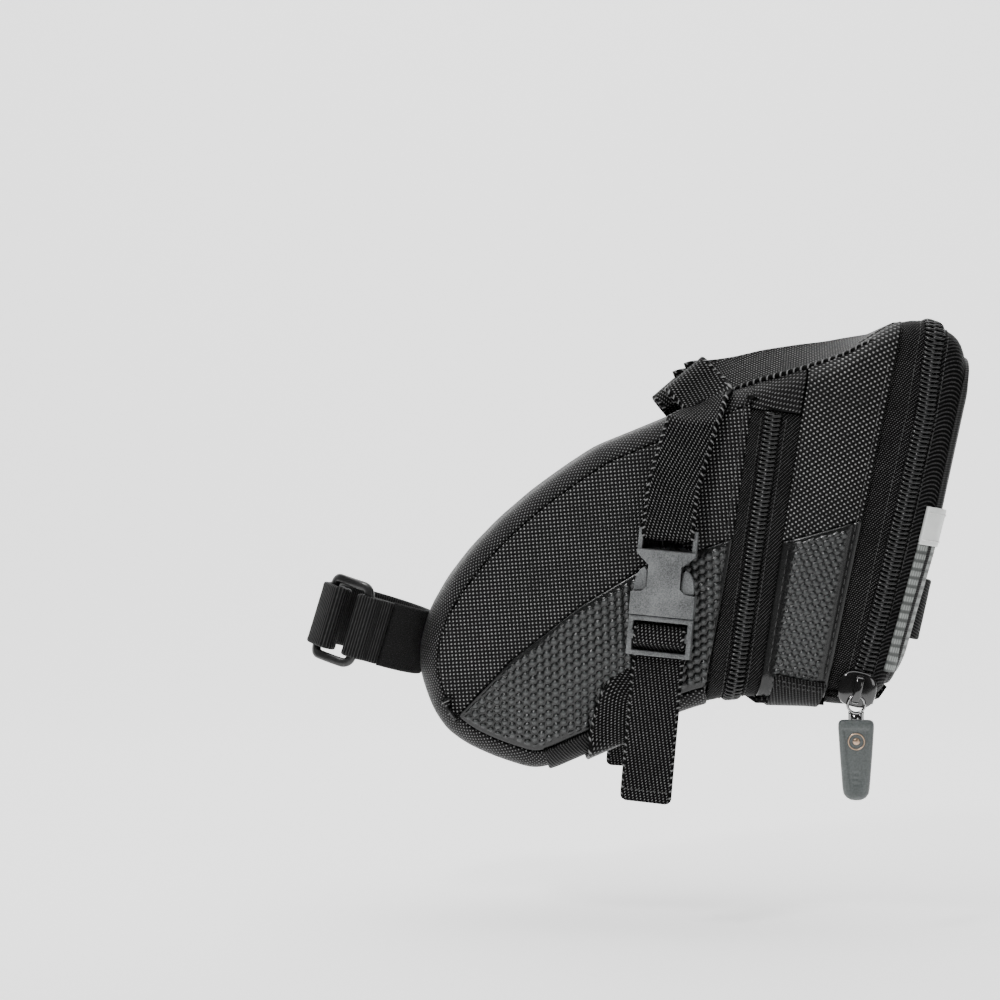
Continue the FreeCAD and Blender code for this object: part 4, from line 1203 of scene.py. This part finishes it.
def lid():
    lid_patch("lid_back_upper", 46.2, LID_HIGH - 0.02, replaces=("lid_panel",))
    lid_patch("lid_back_lower", LID_LOW + 0.02, 45.9, replaces=("lid_lower_panel",))
    hoop_ring("lid_low_fold", np.linspace(MAIN_C + 3.4, LID_C - 0.4, 8), at_centre_low, at_w(4.0), 0.0, 1.6,
              "tape", "rear_lid", slot="ballistic_nylon")
    lid_wrap("lid_grey_webbing", 11.5, 51.4, 0.75, "grey_webbing")
    lid_wrap("lid_reflector", 50.4, 61.9, 1.35, "reflective", replaces=("reflective_strip",))
    for k, w in enumerate((51.9, 60.1)):
        points = wrap_line(w, 0.6)
        normals = wrap_normals(points)
        stitches(f"lid_reflector_stitches_{k}", points + normals * 1.4, normals, "rear_lid", "reflective",
                 1.5, 1.9, 0.24, "white_thread")
    p, n, _ = hoop_line(LID_C - 0.1, 0.0, float(hoop_length(np.array(LID_C - 0.1))), -0.15)
    loop = p[:-1] if np.linalg.norm(p[0] - p[-1]) < 0.5 else p
    verts, faces, _ = sweep(loop, n[:len(loop)], oval(16, 0.95, 0.95, 1.0, 1.0))
    build("lid_piping_cord", verts, faces, "binding", "rear_lid", slot="piping", replaces=("lid_piping",))
    w = np.linspace(LID_LOW + 4.0, LID_HIGH - 4.0, 30)
    y = (lid_half(w) - 4.0)[:, None] * crowded(25)[None, :]
    q = lid_surface(y, np.broadcast_to(w[:, None], y.shape), -2.9)
    shell("lid_inner_lining", q, 0.6, "lining", "rear_lid", np.stack([y, q[..., 2], y * 0], -1),
          slot="lining", replaces=("lid_lining",))
    prof = [(-25.0, 1.5), (-20.0, 1.5), (-18.4, 1.9), (-17.4, 3.4), (-16.4, 5.8), (-14.6, 7.3), (-11.0, 7.9)]
    prof = prof + [(0.0, 8.1)] + [(-a, b) for a, b in prof[::-1]]
    path = resample(np.array(prof), 0.8, 0.5)
    base = lid_surface(path[:, 0], np.full(len(path), 31.0))
    up = unit(row(ZIP_LEAN, 0.0, 1.0) + np.zeros((len(path), 3)))
    out = unit(np.cross(np.array([0, 1.0, 0]), up[0]))
    strap("lid_light_loop", base + out * path[:, 1:2], up, 19.5, 1.5, "ribbon", "rear_lid", "ribbon", 0.8,
          0.3, replaces=("light_clip_loop",))


# ---------------------------------------------------------------- seat-post strap
def post_xyz(r, angle_deg, z):
    """Post frame to row frame. Angles run from the rear through the bike's left at 90."""
    a = np.radians(angle_deg)
    x, y = r * np.cos(a), -r * np.sin(a)
    z = np.broadcast_to(z, np.shape(x))
    cos, sin = math.cos(POST_LEAN), math.sin(POST_LEAN)
    return np.stack([x * cos + z * sin, y, -x * sin + z * cos], -1)


def polar_path(points):
    """A path through (angle, radius) corners, in steps small enough to follow the arcs."""
    pts = []
    for (a0, r0), (a1, r1) in zip(points[:-1], points[1:]):
        count = max(2, int(abs(a1 - a0) / 2.5), int(abs(r1 - r0) / 0.4))
        t = np.linspace(0, 1, count, endpoint=False)
        pts.append(np.stack([a0 + (a1 - a0) * t, r0 + (r1 - r0) * t], -1))
    p = np.concatenate(pts + [np.array([points[-1]])])
    return post_xyz(p[:, 1], p[:, 0], 0.0)


def post_strap():
    up = np.array([math.sin(POST_LEAN), 0, math.cos(POST_LEAN)])

    def run(name, points, mat, width=20.0, thick=1.5, **more):
        c = polar_path(points)
        strap(name, c, np.broadcast_to(up, c.shape), width, thick, mat, "front_pouch", "hook_and_loop", 0.8,
              0.55, **more)

    run("post_strap_right_run", [(346, 16.25), (131.5, 16.2), (129.5, 17.4), (129.2, 19.6), (131.0, 21.2),
                                 (153.5, 21.3), (157.0, 20.2), (160.0, 18.4), (172.0, 18.1)], "strap_back",
        replaces=("post_strap_right",))
    run("post_strap_left_run", [(-15, 16.25), (108.6, 16.2), (110.3, 17.4), (110.6, 19.8), (108.6, 21.2),
                                (97.5, 21.2), (94.0, 20.0), (91.5, 18.5), (78.5, 18.0)], "strap_back",
        replaces=("post_strap_left",))
    run("post_strap_pile", [(77.0, 17.25), (20.0, 17.25), (4.0, 17.3)], "loop_pile", 20.6, 1.3)

    ring_r, corner_r = 19.1, 2.6
    deg = math.degrees(1 / ring_r)
    first, last, top = 99.0 + 3.6, 151.0 - 3.6, 27.5 / 2 - 1.3
    corners = []
    for angle, z, start in ((last, top, 0), (first, top, 90), (first, -top, 180), (last, -top, 270)):
        side_a, side_z = (1 if angle == last else -1), (1 if z > 0 else -1)
        for k in np.linspace(0, 90, 7):
            t = math.radians(start + k)
            across = angle - side_a * corner_r * deg + corner_r * deg * math.cos(t)
            corners.append((across, z - side_z * corner_r + corner_r * math.sin(t)))
    corners.append(corners[0])
    path = resample(np.array(corners) * np.array([1 / deg, 1.0]), 0.7)[:-1]
    ang = path[:, 0] * deg
    outward_at = post_xyz(np.full(len(ang), 1.0), ang, 0.0)
    loop = post_xyz(np.full(len(ang), ring_r), ang, path[:, 1])
    verts, faces, _ = sweep(loop, outward_at, oval(16, 1.45, 1.15, 0.6, 0.6))
    build("post_ring_loop", verts, faces, "ring", "front_pouch", slot="acetal", replaces=("post_ring",))


# ---------------------------------------------------------------- side straps and buckles
WEDGE_RAD = math.atan(WEDGE)
BUCKLE_TOP = np.array([90.8, -45.6, 32.0])
BUCKLE_LEAN = math.radians(5.0)
RAIL_C = np.array([99.5, -27.0, 76.8])
RAIL_RISE = math.radians(40.4)


def turn_y(v, a):
    c, s = math.cos(a), math.sin(a)
    return np.stack([v[..., 0] * c + v[..., 2] * s, v[..., 1], -v[..., 0] * s + v[..., 2] * c], -1)


def turn_z(v, a):
    c, s = math.cos(a), math.sin(a)
    return np.stack([v[..., 0] * c - v[..., 1] * s, v[..., 0] * s + v[..., 1] * c, v[..., 2]], -1)


def buckle(x, y, z):
    """Buckle frame (x rearward, y inward, z up) to row frame."""
    v = np.stack(np.broadcast_arrays(np.asarray(x, float), y, z), -1)
    return turn_z(turn_y(v, BUCKLE_LEAN), -WEDGE_RAD) + BUCKLE_TOP


def rail(x, y, z):
    """Rail frame (x along the rail, y inward, z square to it) to row frame."""
    v = np.stack(np.broadcast_arrays(np.asarray(x, float), y, z), -1)
    return turn_y(v, -RAIL_RISE) + RAIL_C


def cross_lines(frame_of, half, spots):
    """Lines across a strap, each from -half to half at a (y, z) of the buckle or rail frame."""
    return [(frame_of(-half, y, z), frame_of(half, y, z)) for y, z in spots]


def edge_strap(name, sign, edges, width, thick, body, **more):
    """Webbing whose width runs between the two ends of each line."""
    a, b = [mirror(np.array([e[k] for e in edges], float), sign) for k in (0, 1)]
    return strap(name, (a + b) / 2, unit(b - a), width, thick, "webbing", body, **more)


def return_edge(c, drop):
    """A point just above the hoop at station c, this far below the top line."""
    p = hoop_p(np.array(c), float(hoop_size(np.array(c))[1]) - drop)
    return tuple(hoop(np.array(c), p, 1.0))


def rail_webbing(side, sign):
    edges = cross_lines(buckle, 8, ((1.9, 12.0), (2.1, 2.0), (1.9, -1.6), (0.0, -3.3), (-2.2, -1.8),
                                    (-2.3, 0.5), (-1.4, 4.5), (-0.3, 13.0)))
    edges += [((90.9, -42.3, 64.0), (104.6, -44.6, 64.0)), (rail(-8.6, -8.3, -7.0), rail(9.2, -8.6, -7.0))]
    wrap = [(-4.25 * math.cos(a), 4.25 * math.sin(a)) for a in np.radians((-12, 15, 45, 75, 105, 135, 165))]
    edges += cross_lines(rail, 9.4, wrap) + cross_lines(rail, 9.6, ((4.25, -1.6),))
    edge_strap(f"{side}_rail_webbing", sign, edges, 16.0, 1.4, "front_pouch", step=0.9, sigma=1.1,
               replaces=(f"{side}_rail_strap", f"{side}_rail_wrap"))

    y0 = RAIL_C[1]
    edges = [*cross_lines(rail, 9.6, ((4.25, -0.8),)), ((98.0, y0 + 4.1, 70.4), (110.8, y0 + 4.3, 85.6)),
             ((107.0, -35.0, 70.6), (115.0, y0 + 4.4, 88.0)), ((117.0, -41.0, 74.4), (122.0, -24.0, 89.4)),
             (return_edge(121.5, 4.5), (130.5, -26.0, 89.6)), (return_edge(128.0, 4.5), (138.0, -28.0, 89.5)),
             (return_edge(134.0, 4.8), (145.0, -29.5, 89.6)), (return_edge(138.3, 5.2), (150.5, -31.0, 90.4))]
    obj = edge_strap(f"{side}_return_webbing", sign, edges, 16.0, 1.4, None, step=1.0, sigma=2.2,
                     replaces=("strap_returns", "strap_anchors") if side == "left" else ())
    low, high = np.array([112.0, 0, 84.0]), np.array([146.0, 0, 88.0])
    metres(low)
    metres(high)
    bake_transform(obj)
    seam = rail(np.linspace(-7.5, 7.5, 24), -7.6, -5.6)
    normals = np.broadcast_to(mirror(np.array([0.2, -0.95, 0.2]), sign), seam.shape)
    stitches(f"{side}_rail_webbing_stitches", mirror(seam, sign), normals, "front_pouch", "webbing", 1.2, 1.7,
             0.2)


def side_straps():
    low, bar_z = -38.4, -32.3  # the male half's lower edge and its bar, in the buckle frame
    tail = [(3.3, low - 2.1), (3.3, bar_z + 4.0), (2.2, bar_z + 3.0), (-1.6, bar_z + 2.5),
            (-3.0, bar_z + 1.6), (-3.1, bar_z), (-3.0, bar_z - 1.6), (-1.2, bar_z - 2.7), (1.0, bar_z - 3.6),
            (1.6, bar_z - 5.0), (1.5, low - 0.6), (0.6, low - 4.0), (-0.3, -50.0), (-0.8, -60.0),
            (-1.0, -72.0), (-0.8, -82.5)]
    lower = [*cross_lines(buckle, 7.8, ((3.7, low - 3.0),)), ((70.6, -40.2, -22.0), (84.6, -42.9, -16.5)),
             ((68.4, -39.8, -30.4), (82.4, -42.6, -24.0)), ((67.0, -37.2, -37.0), (81.0, -40.4, -30.6)),
             ((66.6, -24.0, -39.4), (80.6, -25.4, -33.0)), ((66.6, -12.0, -39.6), (80.6, -12.4, -33.2))]
    for side, sign in SIDES:
        rail_webbing(side, sign)
        male = f"{side}_buckle_male"
        c = np.stack([buckle(0.0, y, z) for y, z in tail])
        a = np.broadcast_to(buckle(1.0, 0, 0) - buckle(0.0, 0, 0), c.shape)
        strap(f"{side}_tail_webbing", mirror(c, sign), mirror(a, sign), 15.6, 1.3, "webbing", male, step=0.8,
              sigma=0.8, ends=1.8, replaces=(f"{side}_strap_tail",))
        hem = buckle(np.linspace(-7.0, 7.0, 30), -1.66, -78.9)
        normals = np.broadcast_to(mirror(np.array([0.0, -1.0, 0.0]), sign), hem.shape)
        stitches(f"{side}_tail_hem_stitches", mirror(hem, sign), normals, male, "webbing", 1.2, 1.7, 0.2)

        obj = edge_strap(f"{side}_lower_webbing", sign, lower, 15.4, 1.3, None, step=0.9, sigma=1.6,
                         replaces=(f"{side}_lower_strap",))
        end, top = mirror(np.array([75.0, -41.0, -24.0]), sign), mirror(buckle(0.0, 3.4, low - 4.0), sign)
        metres(end)
        metres(top)
        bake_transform(obj)


def bevelled(node, name, body, width):
    """A CAD part's own shape with its edges rounded, standing in for that node."""
    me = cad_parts[node].data.copy()
    me.name = name
    bm = bmesh.new()
    bm.from_mesh(me)
    bmesh.ops.remove_doubles(bm, verts=bm.verts, dist=1e-6)
    bmesh.ops.dissolve_limit(bm, angle_limit=math.radians(2.0), verts=bm.verts, edges=bm.edges)
    sharp = [e for e in bm.edges if e.is_manifold and e.calc_face_angle(0.0) > math.radians(25)]
    bmesh.ops.bevel(bm, geom=sharp, offset=width * MM, offset_type="OFFSET", segments=3, profile=0.6,
                    affect="EDGES", clamp_overlap=True)
    bm.normal_update()
    bm.to_mesh(me)
    bm.free()
    me.materials.clear()
    me.materials.append(MAT["acetal"])
    me.polygons.foreach_set("use_smooth", [True] * len(me.polygons))
    me.update()
    obj = bpy.data.objects.new(name, me)
    bpy.context.scene.collection.objects.link(obj)
    weighted = obj.modifiers.new("normals", "WEIGHTED_NORMAL")
    weighted.keep_sharp = False
    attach(obj, body)
    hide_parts(node)


def buckles():
    for side, _ in SIDES:
        bevelled(f"{side}_buckle_female", f"{side}_female_half", "front_pouch", 0.55)
        bevelled(f"{side}_buckle_male", f"{side}_male_half", f"{side}_buckle_male", 0.35)
        for k in ("front", "rear"):
            bevelled(f"{side}_prong_{k}", f"{side}_{k}_arm", f"{side}_prong_{k}", 0.5)


# ---------------------------------------------------------------- sliders and pulls
def oval_block(x_half, z_half, y_out, y_in, power, dome, rings=7, count=48):
    """A domed oval plate in a slider's frame: x across, y inward, z along the zip."""
    x, z = oval(count, 1.0, 1.0, 2 / power, 2 / power)
    out = []
    for k in np.linspace(0, 1, rings):
        a = k * math.pi / 2
        s = 0.04 + 0.96 * math.sin(a)
        y = y_out + dome * (1 - math.cos(a)) + (y_in - y_out - dome) * max(0.0, (k - 0.85) / 0.15)
        out.append(np.stack([x * x_half * s, np.full(count, y), z * z_half * s], -1))
    return np.array(out)


def placed(v, turn, lean_angle, origin, sign=1.0):
    return turn_y(turn_z(mirror(v, sign), turn), lean_angle) + origin


MAIN_W = 5.0
MAIN_U = MAIN_C + ZIP_LEAN * MAIN_W
MAIN_TURN = -WEDGE_RAD / 2
MAIN_LEAN = TILT + math.atan(ZIP_LEAN)
MAIN_AT = row(MAIN_U, -half_width(MAIN_U) - 0.25, MAIN_W)
EXP_AT = row(EXP_C, half_width(EXP_C) + 0.1, 74.0)
PIN = np.array([0.0, -2.55, -2.3])
MAIN_PIN = placed(PIN, MAIN_TURN, MAIN_LEAN, MAIN_AT)
EXP_PIN = placed(PIN, WEDGE_RAD, TILT, EXP_AT, -1.0)


def slider(name, x_half, z_half, turn, lean_angle, origin, body, sign=1.0):
    """A zip slider: two oval plates, the divider between them, the arch for the pull and two flanges."""
    parts = [solid(oval_block(x_half, z_half, -1.95, -0.35, 2.7, 0.7)),
             solid(oval_block(x_half * 0.62, z_half * 0.55, 3.3, 4.1, 3.0, 0.1))]
    corners = ((-0.6, -1), (0.6, -1), (0.6, 0.7), (-0.6, 0.7))
    parts.append(solid(np.array([[[x * 0.9, y, z * 1.3] for x, z in corners] for y in (-0.9, 3.4)])))
    z = np.array([-4.0, -3.9, -3.5, -2.6, -1.2, 0, 1.2, 2.6, 3.5, 3.9, 4.0])
    y = np.array([-1.3, -2.4, -3.3, -3.85, -4.0, -4.05, -4.0, -3.85, -3.3, -2.4, -1.3])
    path = resample(np.stack([z * 0, y, z], -1), 0.5, 0.3)
    t = unit(np.gradient(path, axis=0))
    across = np.broadcast_to(np.array([1.0, 0, 0]), path.shape)
    parts.append(solid(ringed(path, across, np.cross(t, across), oval(14, 1.15, 0.5, 0.6, 0.7))))
    ang = np.linspace(0, 2 * math.pi, 14, endpoint=False)
    flange_ring = np.stack([np.cos(ang) * 0.45, np.sin(ang) * 0.7, 0 * ang], -1)
    for s in (-1, 1):
        flange = [(s * x_half * 0.86, -0.5, -z_half * 0.62), (s * x_half * 0.93, -0.5, 0.0),
                  (s * x_half * 0.82, -0.5, z_half * 0.6)]
        parts.append(solid(resample(np.array(flange), 0.6, 0.8)[:, None, :] + flange_ring[None, :, :]))
    verts, faces, _ = merge(parts)
    verts = placed(verts, turn, lean_angle, origin, sign)
    faces = faces if sign > 0 else [q[::-1] for q in faces]
    build(name, verts, faces, "enamel", body, slot="slider_metal", replaces=(body,))


def wire(path, half_w, half_t, closed=True):
    """A wire of a pull, flat in its x and z plane."""
    return sweep(path, (0, 1.0, 0), oval(12, half_w, half_t, 0.8, 0.8), closed)


def wire_ring(count, r_x, r_z, y, z, half_w, half_t):
    ang = np.linspace(0, 2 * math.pi, count, endpoint=False)
    return wire(np.stack([r_x * np.cos(ang), np.full(count, y), z + r_z * np.sin(ang)], -1), half_w, half_t)


def tab_grid():
    """The moulded grip: its half width down its length."""
    down = np.array([6.6, 6.75, 7.1, 7.8, 9.0, 12.0, 16.0, 20.0, 24.0, 27.0, 28.6, 29.7, 30.3, 30.6])
    half = np.array([3.3, 4.4, 4.95, 5.25, 5.3, 5.1, 4.85, 4.55, 4.25, 4.0, 3.7, 2.9, 1.8, 0.5])
    z = np.unique(np.concatenate([np.linspace(-30.6, -6.6, 60), -down]))[::-1]
    return z, np.interp(-z, down, half)


def grip_shape():
    """The moulded grip's skin, with a recessed face and three notches, in the pull's frame."""
    zz, hw = tab_grid()
    x = crowded(41)
    px = hw[:, None] * x[None, :]
    pz = np.broadcast_to(zz[:, None], px.shape)
    edge = np.minimum(hw[:, None] * (1 - np.abs(x[None, :])), np.minimum(-6.6 - pz, pz + 30.6))
    crown = np.sqrt(np.clip(1 - (1 - np.clip(edge / 1.5, 0, 1)) ** 2, 0, 1))
    rim = np.interp(-pz, [6, 9.0, 9.6, 24.0, 28.5, 31], [0, 0.0, 1.0, 1.0, 0.0, 0])
    recess = smooth01((hw[:, None] * 0.78 - 0.055 * (-pz - 9) - np.abs(px)) / 0.7) * rim
    face = 1.75 * crown - 0.42 * recess
    for k in range(3):
        face = face - 0.22 * np.exp(-((px / 1.0) ** 4)) * bell(pz, -22.6 - 1.5 * k, 0.42)
    verts, faces = closed_sheet(np.stack([px, -face, pz], -1), np.stack([px, 1.5 * crown, pz], -1))
    return verts, outward(verts, faces), verts


def pull_part(name, shape, mat, slot, **more):
    """A piece of the main pull, from (verts, faces, fab) in the pull's frame."""
    verts, faces, _ = shape
    build(name, turn_z(verts, MAIN_TURN) + MAIN_PIN, faces, mat, "main_pull", slot=slot, **more)


def pulls():
    parts = [wire_ring(30, 2.55, 2.5, 0.0, -2.15, 0.42, 0.5)]
    for s in (-1, 1):
        leg = np.array([[s * 1.9, 0, z] for z in np.linspace(-4.2, -9.0, 8)])
        parts.append(wire(leg, 0.42, 0.62, False))
    corners = ((-1.8, -0.25), (1.8, -0.25), (1.8, 0.25), (-1.8, 0.25))
    parts.append(solid(np.array([[(x, y, z) for x, y in corners] for z in (-4.4, -8.8)])))
    pull_part("main_pull_bail", merge(parts), "nickel", "link_metal", replaces=("main_pull_link",))
    pull_part("main_pull_grip", grip_shape(), "rubber", "pull_rubber", replaces=("main_pull_tab",))
    dot = oval_block(1.1, 1.1, -1.62, -1.2, 2.0, 0.25, 5, 24) + np.array([0, 0, -13.0])
    badge = merge([wire_ring(32, 2.35, 2.35, -1.42, -13.0, 0.22, 0.25), solid(dot)])
    pull_part("main_pull_badge", badge, "bronze", "pull_rubber")

    tab = []
    widths = ((-3.9, 1.7), (-4.3, 2.2), (-5.0, 2.5), (-12.0, 2.6), (-18.6, 2.6), (-19.6, 2.2), (-20.0, 1.4))
    for z, w in widths:
        x, y = oval(16, w, 0.5, 0.5, 1.0)
        tab.append(np.stack([x, y, np.full(16, z)], -1))
    verts, faces, _ = merge([wire_ring(30, 2.2, 2.2, 0.0, -1.9, 0.42, 0.45), solid(np.array(tab))])
    build("expansion_pull_loop", turn_z(verts, WEDGE_RAD) + EXP_PIN, faces, "nickel", "expansion_pull",
          slot="link_metal", replaces=("expansion_pull",))
    slider("main_slider_body", 5.7, 5.4, MAIN_TURN, MAIN_LEAN, MAIN_AT, "main_slider")
    slider("expansion_slider_body", 4.8, 5.0, WEDGE_RAD, TILT, EXP_AT, "expansion_slider", -1.0)


front_gusset()
front_sides()
front_inside()
expansion_zip()
main_zip()
rear_section()
ribbons()
lid()
post_strap()
side_straps()
buckles()
pulls()


# ---------------------------------------------------------------- stage, light and camera
def link(obj):
    """Puts an object into the scene and gives it back."""
    bpy.context.scene.collection.objects.link(obj)
    return obj


def stage():
    """A pale floor that curves up into a backdrop."""
    floor, bend, start = -93.0, 350.0, 500.0
    prof = [(-900.0, floor), (250.0, floor)]
    for k in range(0, 91, 6):
        a = math.radians(k)
        prof.append((start + bend * math.sin(a), floor + bend * (1 - math.cos(a))))
    prof.append((start + bend, 1400.0))
    xs = np.linspace(-1800, 2000, 9)
    verts = np.array([[(x, y, z) for x in xs] for y, z in prof], float).reshape(-1, 3)
    me = bpy.data.meshes.new("stage_floor")
    me.from_pydata((verts * MM).tolist(), [], grid_quads(len(prof), len(xs), 0, True).tolist())
    me.materials.append(MAT["stage"])
    me.polygons.foreach_set("use_smooth", [True] * len(me.polygons))
    link(bpy.data.objects.new("stage_floor", me))


def area(name, at, target, size, power):
    """A square area light in metres and watts."""
    data = bpy.data.lights.new(name, "AREA")
    data.shape = "RECTANGLE"
    data.size = data.size_y = size
    data.energy = power
    obj = link(bpy.data.objects.new(name, data))
    obj.location = at
    obj.rotation_euler = (Vector(target) - Vector(at)).to_track_quat("-Z", "Y").to_euler()


def studio_world(dark, seen):
    """A world that lights the bag faintly but looks pale to the camera."""
    world = bpy.data.worlds.new("studio")
    world.use_nodes = True
    nodes, links = world.node_tree.nodes, world.node_tree.links
    background = nodes["Background"].inputs
    background["Color"].default_value = (1, 1, 1, 1)
    background["Strength"].default_value = dark
    path = nodes.new("ShaderNodeLightPath")
    room = nodes.new("ShaderNodeMapRange")
    room.inputs["To Min"].default_value = dark
    room.inputs["To Max"].default_value = seen
    links.new(path.outputs["Is Camera Ray"], room.inputs["Value"])
    links.new(room.outputs["Result"], background["Strength"])
    bpy.context.scene.world = world


def camera(at, lens):
    data = bpy.data.cameras.new("camera")
    data.lens = lens
    data.sensor_width = 36.0
    cam = link(bpy.data.objects.new("camera", data))
    cam.location = at
    cam.rotation_euler = (math.radians(90), 0, 0)
    bpy.context.scene.camera = cam


BAG_AT = (0.09, 0.0, 0.02)
stage()
area("key_softbox", (-0.35, -0.62, 0.62), BAG_AT, 0.12, 5.6)
area("front_fill", (0.55, -0.95, 0.15), BAG_AT, 0.3, 0.9)
area("top_panel_light", (0.1, 0.15, 0.95), BAG_AT, 0.4, 0.4)
area("backdrop_wash", (0.1, 0.25, 0.9), (0.1, 0.8, 0.1), 1.2, 16.0)
studio_world(0.03, 0.80)
camera((0.0398, -0.710, 0.0409), 79.4)
